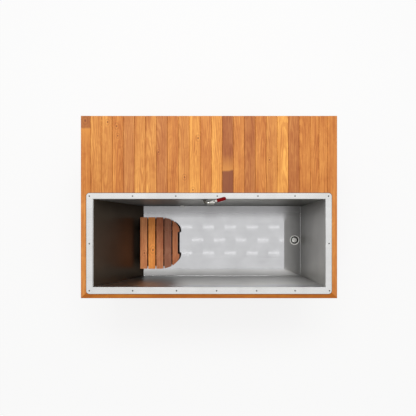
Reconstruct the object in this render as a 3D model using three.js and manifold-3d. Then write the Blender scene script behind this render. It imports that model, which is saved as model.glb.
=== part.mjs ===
// Cold plunge tub: a folded stainless bath in a cedar casing, with a lift-out slatted seat, a floor drain, a
// lever valve under the rim and a boarded deck over the chiller, filter and pump.
// Lengths are in millimetres and angles in degrees. +X runs along the bath to the drain end, +Y to the deck,
// +Z up. The origin is on the ground under the middle of the casing.

import * as THREE from "three";
import { mergeVertices } from "three/addons/utils/BufferGeometryUtils.js";
import Module from "manifold-3d";

const wasm = await Module();
wasm.setup();

// Fits and facets
const gap = 0.3; // between pieces that touch
const pipeClearance = 4; // around a pipe that passes through a wall
const cutMargin = 10; // how far a cut runs past the face that it opens
const weldOverlap = 1; // how far joined forms of one piece run into each other
const arcSteps = 3; // half the chords of a bend
const roundSides = 24;
const smallSides = 16;
const pipeSides = 12;
const hexSides = 6;
const mergeTolerance = 1e-3;

// Bath
const openingLength = 1636;
const openingWidth = 617;
const tubDepth = 640;
const backrestRun = 249; // how far the sloped end has come in at the floor
const sheet = 2;
const floorBend = 3;
const rimBend = 3;
const flangeEnd = 42;
const flangeFront = 48;
const flangeBack = 42;
const flangeCorner = 22;

// Casing
const boardThickness = 20; // caps and deck boards
const capWidth = 67;
const capRound = 4;
const deckRun = 542; // from the flange to the back of the casing
const deckLap = 26; // deck boards under the flange
const boardPitch = 77.2;
const boardJoint = 1;
const boardChamfer = 2;
const tongueReach = 6;
const tongueThickness = 6;
const claddingThickness = 18;
const coursePitch = 78;
const courseChamfer = 4;
const claddingFoot = 60; // height of the shadow gap under the cladding
const capOverhang = 8;
const louvreWidth = 440;
const louvreHeight = 420;
const louvreBorder = 34;
const louvrePitch = 46;
const bladeThickness = 9;
const bladeDrop = 24;
const louvreFoot = 130; // above the ground

// Frame and base
const tube = 40;
const tubeWall = 2;
const endClearance = 13.7; // tub to frame
const frontClearance = 10.7;
const backClearance = 6;
const floorFoam = 60;
const basePanel = 18;
const skidHeight = 70;
const skidWidth = 90;
const skidInset = 14; // from the frame's outer face
const skidChamfer = 30;

// Seat
const seatLength = 332;
const seatWidth = 437;
const seatHeight = 130;
const seatSetback = 34; // from the sloped end to the slats' straight edge
const seatAside = 14; // towards the front from the bath's middle
const seatCornerLength = 167;
const seatCornerWidth = 114;
const slatCount = 5;
const slatGap = 9;
const slatThickness = 24;
const slatChamfer = 2;
const notchLength = 188;
const notchDepth = 15;
const notchRound = 9;
const bearerThickness = 34;
const bearerSpan = 250; // between the bearers' middles
const bearerInset = 34; // from the slats' straight edge
const bearerSetback = 40; // from the slats' rounded edge
const footLength = 58;
const footRelief = 14;
const footRound = 10;

// Drain
const drainFromEnd = 53;
const drainAside = 8; // towards the back from the bath's middle
const drainRingRadius = 43;
const drainRingHeight = 2.6;
const drainRingBevel = 4;
const drainMouth = 32;
const drainDish = 13;
const drainHub = 29;
const drainHubLength = 18;
const drainTail = 24;
const drainTailLength = 56;
const drainBore = 19;
const strainerDepth = 46; // from the bath's floor to the strainer's face
const strainerThickness = 4;
const strainerHole = 1.7;
const strainerHoleSides = 8;
const strainerRings = [
  [6, 8],
  [12, 14],
]; // holes and radius of each ring
const guidePost = 3;
const stopperRadius = 22;
const stopperThickness = 6;
const stopperKnob = 6;
const stopperKnobHeight = 6;
const stopperStem = 5;
const stopperStemLength = 30;
const stopperCap = 1.5; // left over the stem's blind bore
const drainPipeRadius = 20;
const drainPipeWall = 3;
const drainPipeBend = 38;
const drainPipeHeight = 34;

// Valve, its axis along X
const valveFromWall = 23;
const valvePlace = 14; // along X
const valveLength = 48;
const valveBall = 14;
const valveEnd = 11.5;
const valveEndLength = 11;
const valveShoulder = 4;
const valveBore = 8;
const bossRadius = 8;
const bossHeight = 24; // above the valve's axis
const stemRadius = 4;
const stemDepth = 9; // of the stem in the boss
const leverAngle = 15; // at rest, from +X towards the deck
const leverReach = 104;
const leverWidth = 13;
const leverThickness = 3;
const leverEye = 9;
const leverCrank = 8;
const crankStart = 18;
const crankEnd = 30;
const nutRadius = 7;
const nutHeight = 5;
const sleeveStart = 42;
const sleeveWall = 3.5;
const sleeveWidth = 25;
const sleeveRound = 2.5;
const leverClearance = 5; // under the sleeve, above the flange

// Pipework
const pipeRadius = 10.6;
const pipeWall = 2.2;
const pipeBend = 34;
const elbowBend = 17;
const elbowStub = 5;
const wallFlangeRadius = 24;
const wallFlangeThickness = 4;
const tailLength = 14; // of a fitting behind the frame
const suctionPlace = -225; // along X
const suctionHeight = 62; // above the bath's floor
const suctionFace = 16;
const suctionProud = 10;
const suctionRound = 4;
const pipeStep = 19; // between the rings of a bent pipe

// Pump, its axis along Y
const pumpDistance = 64; // behind the frame's middle rail
const voluteRadius = 68;
const voluteLength = 62;
const inletRadius = 24;
const inletLength = 22;
const motorRadius = 56;
const motorLength = 176;
const motorRib = 5;
const motorRibCount = 5;
const motorCap = 22;
const pumpFootWidth = 96;
const dischargeHeight = 118; // above the pump's axis

// Filter
const filterPlace = 12; // along X
const filterRadius = 84;
const filterHeight = 360;
const filterRound = 26;
const filterPort = 34; // length of a port
const lidRadius = 92;
const lidHeight = 48;
const lidGrip = 30;
const lidGripWidth = 18;
const lidGripHeight = 18;

// Chiller
const chillerGap = 30; // between the filter's port and the casing
const chillerLength = 420;
const chillerDepth = 360;
const chillerHeight = 430;
const chillerRound = 18;
const runnerWidth = 50;
const runnerHeight = 24;
const fanRadius = 138;
const fanClearance = 10;
const fanWell = 84;
const fanHub = 42;
const fanHubLength = 34;
const fanBlades = 5;
const bladeSpread = 48;
const bladePitch = 32;
const fanBladeThickness = 3;
const bladeRoot = 6; // of a blade in the hub
const bladeChords = 2;
const fanMotor = 40;
const fanMotorLength = 34;
const fanShaft = 5;
const fanShaftClearance = 0.3;
const fanSpace = 3; // between the hub and its motor
const guardWire = 5;
const guardBorder = 15;
const guardSides = 20;
const guardRings = 4;
const guardSpokes = 4;
const outletInset = 60; // of the chiller's outlet from its filter side
const outletHeight = 22;

const finishes = {
  steel: { color: 0xc9cac8, roughness: 0.32, metalness: 1 },
  chrome: { color: 0xd8d8d6, roughness: 0.2, metalness: 1 },
  cedar: { color: 0xd2894a, roughness: 0.6, metalness: 0 },
  seatCedar: { color: 0xb06f45, roughness: 0.65, metalness: 0 },
  vinyl: { color: 0x870508, roughness: 0.4, metalness: 0 },
  painted: { color: 0x3c3f42, roughness: 0.55, metalness: 0.2 },
  foam: { color: 0xe9e2c8, roughness: 0.9, metalness: 0 },
  plywood: { color: 0xb9935f, roughness: 0.8, metalness: 0 },
  pipe: { color: 0xdadada, roughness: 0.5, metalness: 0 },
  casing: { color: 0xbfc3c6, roughness: 0.5, metalness: 0.1 },
  black: { color: 0x1c1d1f, roughness: 0.55, metalness: 0 },
};

// Levels, from the ground up
const panelFoot = skidHeight + gap;
const panelTop = panelFoot + basePanel;
const floorTop = panelTop + gap + floorFoam + gap + sheet;
const rimTop = floorTop + tubDepth;
const deckTop = rimTop - sheet - gap;
const deckFoot = deckTop - boardThickness;
const frameTop = deckFoot - gap;
const frameFoot = panelTop + gap;
const railFoot = frameTop - tube;
const railMiddle = frameTop - tube / 2;

// Places across the casing
const sideBuild = tube + gap + claddingThickness + capOverhang;
const halfLength = openingLength / 2 + sheet + endClearance + sideBuild;
const frontBuild = sheet + frontClearance + sideBuild;
const casingWidth = frontBuild + openingWidth + flangeBack + deckRun;
const halfWidth = casingWidth / 2;
const bathLow = -openingLength / 2;
const bathHigh = openingLength / 2;
const bathFront = frontBuild - halfWidth;
const bathBack = bathFront + openingWidth;
const bathMiddle = (bathFront + bathBack) / 2;
const flangeLow = [bathLow - flangeEnd, bathFront - flangeFront];
const flangeHigh = [bathHigh + flangeEnd, bathBack + flangeBack];
const faceX = halfLength - capOverhang;
const faceY = halfWidth - capOverhang;
const frameX = faceX - claddingThickness - gap;
const frameY = faceY - claddingThickness - gap;
const middleRail = bathBack + sheet + backClearance;
const bayFront = middleRail + tube;

// Axes of the moving and piped pieces
const drainX = bathHigh - drainFromEnd;
const drainY = bathMiddle + drainAside;
const valveY = bathBack - valveFromWall;
const valveZ = railMiddle;
const elbowX = valvePlace - valveLength / 2 - gap - elbowStub - elbowBend;
const suctionZ = floorTop + suctionHeight;
const tailEnd = bayFront + tailLength;
const pumpY = bayFront + pumpDistance;
const equipmentY = pumpY + inletLength + voluteLength / 2;
const portZ = suctionZ + dischargeHeight;
const chillerX = filterPlace + filterRadius + filterPort + chillerGap;
const chillerFoot = frameFoot;
const chillerTop = chillerFoot + runnerHeight + chillerHeight;
const chillerBack = equipmentY - outletInset + chillerDepth;
const fanX = chillerX + chillerLength / 2;
const fanZ = chillerFoot + runnerHeight + chillerHeight / 2;
const wellRadius = fanRadius + fanClearance;
const outletX = chillerX + outletInset;

/** Outline through corners [x, y, radius]; a corner with a radius is rounded by a tangent arc. */
function outline(corners) {
  const shape = new THREE.Shape();
  const count = corners.length;
  const point = ([x, y]) => new THREE.Vector2(x, y);
  for (let i = 0; i <= count; i += 1) {
    const here = corners[i % count];
    const radius = here[2] ?? 0;
    const corner = point(here);
    const back = point(corners[(i + count - 1) % count]).sub(corner).normalize();
    const ahead = point(corners[(i + 1) % count]).sub(corner).normalize();
    const half = Math.acos(THREE.MathUtils.clamp(back.dot(ahead), -1, 1)) / 2;
    const leave = corner.clone().addScaledVector(ahead, radius / Math.tan(half));
    if (i === 0) {
      shape.moveTo(leave.x, leave.y);
    } else if (radius === 0) {
      shape.lineTo(corner.x, corner.y);
    } else {
      const inward = back.clone().add(ahead).normalize();
      const middle = corner.clone().addScaledVector(inward, radius / Math.sin(half));
      const enter = corner.clone().addScaledVector(back, radius / Math.tan(half));
      const start = enter.sub(middle).angle();
      const end = leave.clone().sub(middle).angle();
      shape.absarc(middle.x, middle.y, radius, start, end, back.cross(ahead) > 0);
    }
  }
  return shape;
}

/** Rectangle from a low to a high corner, all its corners rounded alike. */
function rectangle([x0, y0], [x1, y1], radius = 0) {
  return outline([[x0, y0, radius], [x1, y0, radius], [x1, y1, radius], [x0, y1, radius]]);
}

/** Straight prism of an outline, along its own third axis. */
function prism(shape, depth, options = {}) {
  const settings = { depth, bevelEnabled: false, curveSegments: arcSteps, ...options };
  return new THREE.ExtrudeGeometry(shape, settings);
}

const axisX = new THREE.Vector3(1, 0, 0);
const axisY = new THREE.Vector3(0, 1, 0);
const axisZ = new THREE.Vector3(0, 0, 1);

/** Prism of a (Y, Z) outline between two places along X. */
function prismX(shape, from, to) {
  const turn = new THREE.Matrix4().makeBasis(axisY, axisZ, axisX);
  return prism(shape, to - from).applyMatrix4(turn).translate(from, 0, 0);
}

/** Prism of an (X, Z) outline between two places along Y. */
function prismY(shape, from, to) {
  return prism(shape, to - from).rotateX(Math.PI / 2).translate(0, to, 0);
}

/** Prism of an (X, Y) outline between two heights. */
function prismZ(shape, from, to, options = {}) {
  return prism(shape, to - from, options).translate(0, 0, from);
}

/** Box between two corners. */
function box(low, high) {
  const size = high.map((value, i) => value - low[i]);
  const middle = high.map((value, i) => (value + low[i]) / 2);
  return new THREE.BoxGeometry(...size).translate(...middle);
}

/** Round bar between two points. */
function rod(from, to, radius, sides = roundSides) {
  const start = new THREE.Vector3(...from);
  const along = new THREE.Vector3(...to).sub(start);
  const turn = new THREE.Quaternion().setFromUnitVectors(axisY, along.clone().normalize());
  const bar = new THREE.CylinderGeometry(radius, radius, along.length(), sides);
  return bar.applyQuaternion(turn).translate(...start.addScaledVector(along, 1 / 2).toArray());
}

/** Solid of revolution of [radius, height] points, listed upwards on the outside, about an axis. */
function turned(points, axis = axisZ, sides = roundSides) {
  const profile = points.map(([radius, height]) => new THREE.Vector2(radius, height));
  const turn = new THREE.Quaternion().setFromUnitVectors(axisY, axis);
  return new THREE.LatheGeometry(profile, sides).applyQuaternion(turn);
}

/** Pipe through corner points, bent to a radius at each inner corner. */
function pipe(points, bend, radius, wall) {
  const corners = points.map((place) => new THREE.Vector3(...place));
  const route = new THREE.CurvePath();
  let from = corners[0];
  for (let i = 1; i < corners.length - 1; i += 1) {
    const enter = corners[i - 1].clone().sub(corners[i]).setLength(bend).add(corners[i]);
    const leave = corners[i + 1].clone().sub(corners[i]).setLength(bend).add(corners[i]);
    route.add(new THREE.LineCurve3(from, enter));
    route.add(new THREE.QuadraticBezierCurve3(enter, corners[i], leave));
    from = leave;
  }
  route.add(new THREE.LineCurve3(from, corners[corners.length - 1]));
  const section = new THREE.Shape().absarc(0, 0, radius, 0, 2 * Math.PI);
  section.holes.push(new THREE.Path().absarc(0, 0, radius - wall, 0, 2 * Math.PI));
  const steps = Math.ceil(route.getLength() / pipeStep);
  return prism(section, 0, { extrudePath: route, steps, curveSegments: pipeSides / 2 });
}

/** Closed solid of a geometry, for joining and cutting. */
function solid(geometry) {
  const bare = new THREE.BufferGeometry();
  bare.setAttribute("position", geometry.getAttribute("position"));
  bare.setIndex(geometry.getIndex());
  const merged = mergeVertices(bare, mergeTolerance);
  const vertProperties = new Float32Array(merged.getAttribute("position").array);
  const triVerts = new Uint32Array(merged.getIndex().array);
  return new wasm.Manifold(new wasm.Mesh({ numProp: 3, vertProperties, triVerts }));
}

/** Geometry of a solid. */
function surface(body) {
  const mesh = body.getMesh();
  const geometry = new THREE.BufferGeometry();
  geometry.setAttribute("position", new THREE.BufferAttribute(mesh.vertProperties, 3));
  geometry.setIndex(new THREE.BufferAttribute(mesh.triVerts, 1));
  return geometry;
}

const combine = (geometries, method) =>
  surface(geometries.map(solid).reduce((whole, part) => whole[method](part)));
const join = (...geometries) => combine(geometries, "add");
const cut = (...geometries) => combine(geometries, "subtract");
const common = (...geometries) => combine(geometries, "intersect");

const tubGroup = new THREE.Group();

/** Adds a named piece of a finish to a group. */
function piece(name, geometry, finish, group = tubGroup) {
  const mesh = new THREE.Mesh(geometry, new THREE.MeshStandardMaterial(finishes[finish]));
  mesh.name = name;
  group.add(mesh);
  return mesh;
}

/** Section of the folded sheet's face: along the flange, down a wall, along the floor and up again. */
function trough(low, high, run, reach, offset, top) {
  const slant = Math.hypot(run, tubDepth) / tubDepth;
  const lowAt = (depth) => low + (run * depth) / tubDepth - offset * slant;
  const rim = rimTop - offset;
  const floor = floorTop - offset;
  return outline([
    [reach[0], top],
    [reach[0], rim],
    [lowAt(offset), rim, rimBend - offset],
    [lowAt(tubDepth + offset), floor, floorBend + offset],
    [high + offset, floor, floorBend + offset],
    [high + offset, rim, rimBend - offset],
    [reach[1], rim],
    [reach[1], top],
  ]);
}

/** Body of the bath at an offset outside its inner face, out to the flange's edges and up to a top. */
function bathForm(offset, spread, top) {
  const low = [flangeLow[0] - spread, flangeLow[1] - spread];
  const high = [flangeHigh[0] + spread, flangeHigh[1] + spread];
  const along = trough(bathLow, bathHigh, backrestRun, [low[0], high[0]], offset, top);
  const across = trough(bathFront, bathBack, 0, [low[1], high[1]], offset, top);
  return common(prismY(along, low[1], high[1]), prismX(across, low[0], high[0]));
}

/** Folded stainless bath with its flange and the holes for drain, suction and return. */
function tubLiner() {
  const folded = bathForm(sheet, 0, rimTop);
  const inside = bathForm(0, cutMargin, rimTop + cutMargin);
  const flangePlan = rectangle(flangeLow, flangeHigh, flangeCorner);
  const flange = prismZ(flangePlan, floorTop - cutMargin, rimTop + cutMargin);
  const drainHole = rod([drainX, drainY, floorTop - cutMargin], [drainX, drainY, rimTop], drainHub + gap);
  const holeRadius = pipeRadius + gap;
  const wallHole = (x, z) => rod([x, bathBack - cutMargin, z], [x, bayFront, z], holeRadius, smallSides);
  const wallHoles = [wallHole(suctionPlace, suctionZ), wallHole(elbowX, valveZ)];
  return cut(common(folded, flange), inside, drainHole, ...wallHoles);
}

/** Insulation that fills the casing round the bath, below the frame's rails. */
function foamJacket() {
  const sideX = frameX - tube - gap;
  const block = box([-sideX, -frameY, frameFoot], [sideX, bayFront, railFoot - gap]);
  const bath = bathForm(sheet + gap, cutMargin, rimTop);
  const drainFoot = [drainX, drainY, frameFoot - cutMargin];
  const drainWell = rod(drainFoot, [drainX, drainY, floorTop], drainHub + pipeClearance);
  const suctionFrom = [suctionPlace, bathBack, suctionZ];
  const wayRadius = pipeRadius + pipeClearance;
  const suctionWay = rod(suctionFrom, [suctionPlace, tailEnd, suctionZ], wayRadius, smallSides);
  return cut(block, bath, drainWell, suctionWay);
}

/** Posts and rails of the frame, drawn in by a wall and run down below their feet by a drop. */
function frameBars(wall, drop) {
  const bars = [];
  const outerX = frameX - wall;
  const innerX = frameX - tube + wall;
  const bar = (x0, x1, y0, z0) => {
    bars.push(box([x0, y0 + wall, z0], [x1, y0 + tube - wall, frameTop - wall]));
  };
  const deckJoist = (bayFront + frameY - tube) / 2 - tube / 2;
  for (const y of [-frameY, middleRail, deckJoist, frameY - tube]) {
    bar(-outerX, outerX, y, railFoot + wall);
  }
  for (const [x0, x1] of [[-outerX, -innerX], [innerX, outerX]]) {
    bars.push(box([x0, -frameY + wall, railFoot + wall], [x1, frameY - wall, frameTop - wall]));
    for (const y of [-frameY, middleRail, frameY - tube]) {
      bar(x0, x1, y, frameFoot - drop);
    }
  }
  return join(...bars);
}

/** Welded frame of square tube, open at the posts' feet and drilled for the return. */
function frame() {
  const holeFrom = [elbowX, middleRail - cutMargin, valveZ];
  const returnHole = rod(holeFrom, [elbowX, tailEnd, valveZ], pipeRadius + pipeClearance / 2, smallSides);
  return cut(frameBars(0, 0), frameBars(tubeWall, cutMargin), returnHole);
}

/** Section (across, up) of a deck board between two places, with or without its tongue and its groove. */
function boardSection(low, high, hasGroove, hasTongue) {
  const middle = (deckFoot + deckTop) / 2;
  const half = tongueThickness / 2;
  const corners = [[low, deckFoot], [high, deckFoot]];
  if (hasTongue) {
    const tip = high + tongueReach;
    corners.push([high, middle - half], [tip, middle - half], [tip, middle + half], [high, middle + half]);
  }
  corners.push([high, deckTop - boardChamfer], [high - boardChamfer, deckTop]);
  corners.push([low + boardChamfer, deckTop], [low, deckTop - boardChamfer]);
  if (hasGroove) {
    const root = low + tongueReach - boardJoint + gap;
    corners.push([low, middle + half + gap], [root, middle + half + gap]);
    corners.push([root, middle - half - gap], [low, middle - half - gap]);
  }
  return outline(corners);
}

/** Deck boards from cap to cap; the last two share what is left of the width. */
function deckBoards() {
  const low = -halfLength + capWidth;
  const span = 2 * (halfLength - capWidth);
  const whole = Math.floor(span / boardPitch) - 1;
  const ripped = (span - whole * boardPitch) / 2;
  const count = whole + 2;
  const edge = (i) => low + Math.min(i, whole) * boardPitch + Math.max(i - whole, 0) * ripped;
  for (let i = 0; i < count; i += 1) {
    const [from, to] = [edge(i) + boardJoint / 2, edge(i + 1) - boardJoint / 2];
    const section = boardSection(from, to, i > 0, i < count - 1);
    piece(`deck_board_${i + 1}`, prismY(section, flangeHigh[1] - deckLap, halfWidth), "cedar");
  }
}

/** Edge board of a run, mitred at its ends where asked, lying with its outer edge on the X axis. */
function capBoard(length, mitredStart, mitredEnd) {
  const section = outline([
    [boardJoint / 2, deckFoot],
    [capWidth - boardJoint / 2, deckFoot],
    [capWidth - boardJoint / 2, deckTop - boardChamfer],
    [capWidth - boardJoint / 2 - boardChamfer, deckTop],
    [0, deckTop, capRound],
    [0, deckFoot],
  ]);
  const board = prismX(section, 0, length);
  const places = board.getAttribute("position");
  for (let i = 0; i < places.count; i += 1) {
    const across = places.getY(i) + gap;
    const atStart = places.getX(i) < length / 2;
    if (atStart && mitredStart) places.setX(i, across);
    if (!atStart && mitredEnd) places.setX(i, length - across);
  }
  return board;
}

/** The three caps round the bath. */
function caps() {
  const front = piece("front_cap", capBoard(2 * halfLength, true, true), "cedar");
  front.position.set(-halfLength, -halfWidth, 0);
  const right = piece("right_cap", capBoard(2 * halfWidth, true, false), "cedar");
  right.position.set(halfLength, -halfWidth, 0);
  right.rotation.z = Math.PI / 2;
  const left = piece("left_cap", capBoard(2 * halfWidth, false, true), "cedar");
  left.position.set(-halfLength, halfWidth, 0);
  left.rotation.z = -Math.PI / 2;
}

/** Cladding of one side: horizontal courses with V joints, mitred at both corners. */
function claddingPanel(length) {
  const top = deckFoot - gap;
  const courses = Math.round((top - claddingFoot) / coursePitch);
  const pitch = (top - claddingFoot) / courses;
  const corners = [[claddingThickness, top], [courseChamfer, top]];
  for (let i = courses; i > 0; i -= 1) {
    const head = claddingFoot + i * pitch;
    corners.push([0, head - courseChamfer], [0, head - pitch + courseChamfer], [courseChamfer, head - pitch]);
  }
  corners.push([claddingThickness, claddingFoot]);
  const panel = prismX(outline(corners), -length / 2, length / 2);
  const places = panel.getAttribute("position");
  for (let i = 0; i < places.count; i += 1) {
    const reach = length / 2 - places.getY(i) - gap;
    places.setX(i, Math.sign(places.getX(i)) * reach);
  }
  return panel;
}

/** Louvre panel of slanted blades in a border, standing in its opening with its outer face on the X axis. */
function louvrePanel(width, height) {
  const inner = [width / 2 - louvreBorder, height - louvreBorder];
  const border = rectangle([-width / 2, 0], [width / 2, height]);
  border.holes.push(rectangle([-inner[0], louvreBorder], inner));
  const forms = [prismY(border, 0, claddingThickness)];
  const count = Math.floor((inner[1] - louvreBorder) / louvrePitch);
  const pitch = (inner[1] - louvreBorder) / count;
  for (let i = 0; i < count; i += 1) {
    const foot = louvreBorder + i * pitch;
    const depth = claddingThickness;
    const blade = outline([
      [0, foot], [depth, foot + bladeDrop],
      [depth, foot + bladeDrop + bladeThickness], [0, foot + bladeThickness],
    ]);
    forms.push(prismX(blade, -inner[0] - weldOverlap, inner[0] + weldOverlap));
  }
  return join(...forms);
}

/** Cladding on the four sides, with the louvre let into the back. */
function cladding() {
  const front = piece("front_cladding", claddingPanel(2 * faceX), "cedar");
  front.position.y = -faceY;
  const right = piece("right_cladding", claddingPanel(2 * faceY), "cedar");
  right.position.x = faceX;
  right.rotation.z = Math.PI / 2;
  const left = piece("left_cladding", claddingPanel(2 * faceY), "cedar");
  left.position.x = -faceX;
  left.rotation.z = -Math.PI / 2;
  const openingLow = [-fanX - louvreWidth / 2, -cutMargin, louvreFoot];
  const openingHigh = [-fanX + louvreWidth / 2, claddingThickness + cutMargin, louvreFoot + louvreHeight];
  const back = piece("back_cladding", cut(claddingPanel(2 * faceX), box(openingLow, openingHigh)), "cedar");
  back.position.y = faceY;
  back.rotation.z = Math.PI;
  const louvre = piece("rear_louvre", louvrePanel(louvreWidth - 2 * gap, louvreHeight - 2 * gap), "cedar");
  louvre.position.set(fanX, faceY, louvreFoot + gap);
  louvre.rotation.z = Math.PI;
}

/** Floor panel and the three skids that it stands on. */
function base() {
  const drainWay = [drainX, drainY, panelFoot - cutMargin];
  const panelHole = rod(drainWay, [drainX, drainY, panelTop + cutMargin], drainPipeRadius + pipeClearance);
  const panel = box([-frameX, -frameY, panelFoot], [frameX, frameY, panelTop]);
  piece("base_panel", cut(panel, panelHole), "plywood");
  const reach = frameX - skidInset;
  const skid = outline([
    [-reach + skidChamfer, 0], [reach - skidChamfer, 0], [reach, skidChamfer], [reach, skidHeight],
    [-reach, skidHeight], [-reach, skidChamfer],
  ]);
  const edge = frameY - skidInset;
  const middle = bathBack - skidWidth / 2;
  const rows = { front: -edge, middle, back: edge - skidWidth };
  for (const [name, y] of Object.entries(rows)) {
    piece(`skid_${name}`, prismY(skid, y, y + skidWidth), "plywood");
  }
}

/** D-shaped outline of the seat: square at the backrest, with elliptical corners at the front edge. */
function seatOutline(low, high, front, back) {
  const shape = new THREE.Shape();
  shape.moveTo(low, front);
  const corner = high - seatCornerLength;
  shape.lineTo(corner, front);
  const quarter = Math.PI / 2;
  shape.absellipse(corner, front + seatCornerWidth, seatCornerLength, seatCornerWidth, -quarter, 0);
  shape.absellipse(corner, back - seatCornerWidth, seatCornerLength, seatCornerWidth, 0, quarter);
  shape.lineTo(low, back);
  return shape;
}

/** Seat of slats on two bearers, standing free on the bath's floor. */
function seat() {
  const top = floorTop + seatHeight;
  const slatFoot = top - slatThickness;
  const low = bathLow + (backrestRun * (rimTop - slatFoot)) / tubDepth + seatSetback;
  const high = low + seatLength;
  const middle = bathMiddle - seatAside;
  const front = middle - seatWidth / 2;
  const back = middle + seatWidth / 2;
  const slatWidth = (seatLength - (slatCount - 1) * slatGap) / slatCount;
  const plate = prismZ(seatOutline(low, high, front, back), slatFoot, top, { curveSegments: 2 * arcSteps });
  const notchLow = [high - notchDepth, middle - notchLength / 2];
  const notch = rectangle(notchLow, [high + cutMargin + notchRound, middle + notchLength / 2], notchRound);
  const notchCut = prismZ(notch, slatFoot - cutMargin, top + cutMargin);
  for (let i = 0; i < slatCount; i += 1) {
    const x = low + i * (slatWidth + slatGap);
    const end = x + slatWidth;
    const section = outline([
      [x, slatFoot], [end, slatFoot], [end, top - slatChamfer], [end - slatChamfer, top],
      [x + slatChamfer, top], [x, top - slatChamfer],
    ]);
    const strip = prismY(section, front - cutMargin, back + cutMargin);
    const slat = i < slatCount - 1 ? common(plate, strip) : cut(common(plate, strip), notchCut);
    piece(`seat_slat_${i + 1}`, slat, "seatCedar");
  }
  const from = low + bearerInset;
  const to = high - bearerSetback;
  const foot = floorTop + gap;
  const bearer = outline([
    [from, foot], [from + footLength, foot], [from + footLength, foot + footRelief, footRound],
    [to - footLength, foot + footRelief, footRound], [to - footLength, foot], [to, foot],
    [to, slatFoot - gap], [from, slatFoot - gap],
  ]);
  for (const [name, y] of [["front", middle - bearerSpan / 2], ["back", middle + bearerSpan / 2]]) {
    const board = prismY(bearer, y - bearerThickness / 2, y + bearerThickness / 2);
    piece(`seat_bearer_${name}`, board, "seatCedar");
  }
}

/** Floor drain: a dished ring with a strainer and post in its tail, the stopper on the post, and the pipe. */
function drain() {
  const group = new THREE.Group();
  group.position.set(drainX, drainY, floorTop);
  tubGroup.add(group);
  const turnedBody = turned([
    [drainRingRadius, gap],
    [drainRingRadius, gap + drainRingHeight / 2],
    [drainRingRadius - drainRingBevel, drainRingHeight],
    [drainMouth, drainRingHeight],
    [drainBore, -drainDish],
    [drainBore, -drainTailLength],
    [drainTail, -drainTailLength],
    [drainTail, -drainHubLength],
    [drainHub, -drainHubLength],
    [drainHub, gap],
    [drainRingRadius, gap],
  ]);
  const strainerFoot = -strainerDepth - strainerThickness;
  const plate = rod([0, 0, strainerFoot], [0, 0, -strainerDepth], (drainBore + drainTail) / 2);
  const holes = strainerRings.flatMap(([count, radius]) =>
    [...Array(count).keys()].map((i) => {
      const turn = (2 * Math.PI * i) / count;
      const [x, y] = [radius * Math.cos(turn), radius * Math.sin(turn)];
      const [low, high] = [strainerFoot - cutMargin, cutMargin - strainerDepth];
      return rod([x, y, low], [x, y, high], strainerHole, strainerHoleSides);
    }),
  );
  const dishSlope = (drainRingHeight + drainDish) / (drainMouth - drainBore);
  const seatLevel = (stopperRadius - drainBore) * dishSlope - drainDish + gap * dishSlope;
  const head = seatLevel + stopperThickness;
  const boreTop = head + stopperKnobHeight - stopperCap;
  const post = rod([0, 0, strainerFoot], [0, 0, boreTop - gap], guidePost);
  piece("drain_body", cut(join(turnedBody, plate, post), ...holes), "chrome", group);
  const solidStopper = turned([
    [0, seatLevel - stopperStemLength],
    [stopperStem, seatLevel - stopperStemLength],
    [stopperStem, seatLevel],
    [stopperRadius, seatLevel],
    [stopperRadius, seatLevel + stopperThickness / 2],
    [stopperKnob + stopperKnobHeight, head],
    [stopperKnob, head],
    [stopperKnob, head + stopperKnobHeight],
    [0, head + stopperKnobHeight],
  ]);
  const boreFoot = seatLevel - stopperStemLength - cutMargin;
  const bore = rod([0, 0, boreFoot], [0, 0, boreTop], guidePost + gap);
  piece("drain_stopper", cut(solidStopper, bore), "chrome", group);
  const route = [
    [drainX, drainY, floorTop - drainTailLength - gap],
    [drainX, drainY, drainPipeHeight],
    [faceX - gap, drainY, drainPipeHeight],
  ];
  piece("drain_pipe", pipe(route, drainPipeBend, drainPipeRadius, drainPipeWall), "pipe");
}

/** Suction fitting through the back wall, with a rounded face inside the bath. */
function suctionFitting() {
  const back = bathBack - gap;
  const bore = pipeRadius - pipeWall;
  const fitting = turned([
    [bore, back - suctionProud],
    [suctionFace - suctionRound, back - suctionProud],
    [suctionFace, back - suctionProud + suctionRound],
    [suctionFace, back],
    [pipeRadius, back],
    [pipeRadius, tailEnd],
    [bore, tailEnd],
    [bore, back - suctionProud],
  ], axisY, smallSides);
  piece("suction_fitting", fitting.translate(suctionPlace, 0, suctionZ), "chrome");
}

/** Elbow from the back wall to the valve, with the flange that covers the wall's hole. */
function returnElbow() {
  const start = valvePlace - valveLength / 2 - gap;
  const route = [[elbowX, tailEnd, valveZ], [elbowX, valveY, valveZ], [start, valveY, valveZ]];
  const back = bathBack - gap;
  const front = back - wallFlangeThickness;
  const bore = pipeRadius - pipeWall / 2;
  const cover = turned([
    [bore, front],
    [wallFlangeRadius - wallFlangeThickness, front],
    [wallFlangeRadius, back - wallFlangeThickness / 2],
    [wallFlangeRadius, back],
    [bore, back],
    [bore, front],
  ], axisY);
  const bent = pipe(route, elbowBend, pipeRadius, pipeWall);
  piece("return_elbow", join(bent, cover.translate(elbowX, 0, valveZ)), "chrome");
}

/** Ball valve body: a barrel along X with a boss on top for the stem. */
function valveBody() {
  const end = valveLength / 2;
  const neck = end - valveEndLength;
  const barrel = turned([
    [valveBore, -end],
    [valveEnd, -end],
    [valveEnd, -neck],
    [valveBall, -neck + valveShoulder],
    [valveBall, neck - valveShoulder],
    [valveEnd, neck],
    [valveEnd, end],
    [valveBore, end],
    [valveBore, -end],
  ], axisX);
  const boss = rod([0, 0, valveBore + weldOverlap], [0, 0, bossHeight], bossRadius, smallSides);
  const holeFoot = bossHeight - stemDepth - gap;
  const stemHole = rod([0, 0, holeFoot], [0, 0, bossHeight + cutMargin], stemRadius + gap, smallSides);
  const body = cut(join(barrel, boss), stemHole);
  piece("valve_body", body.translate(valvePlace, valveY, valveZ), "chrome");
}

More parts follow.
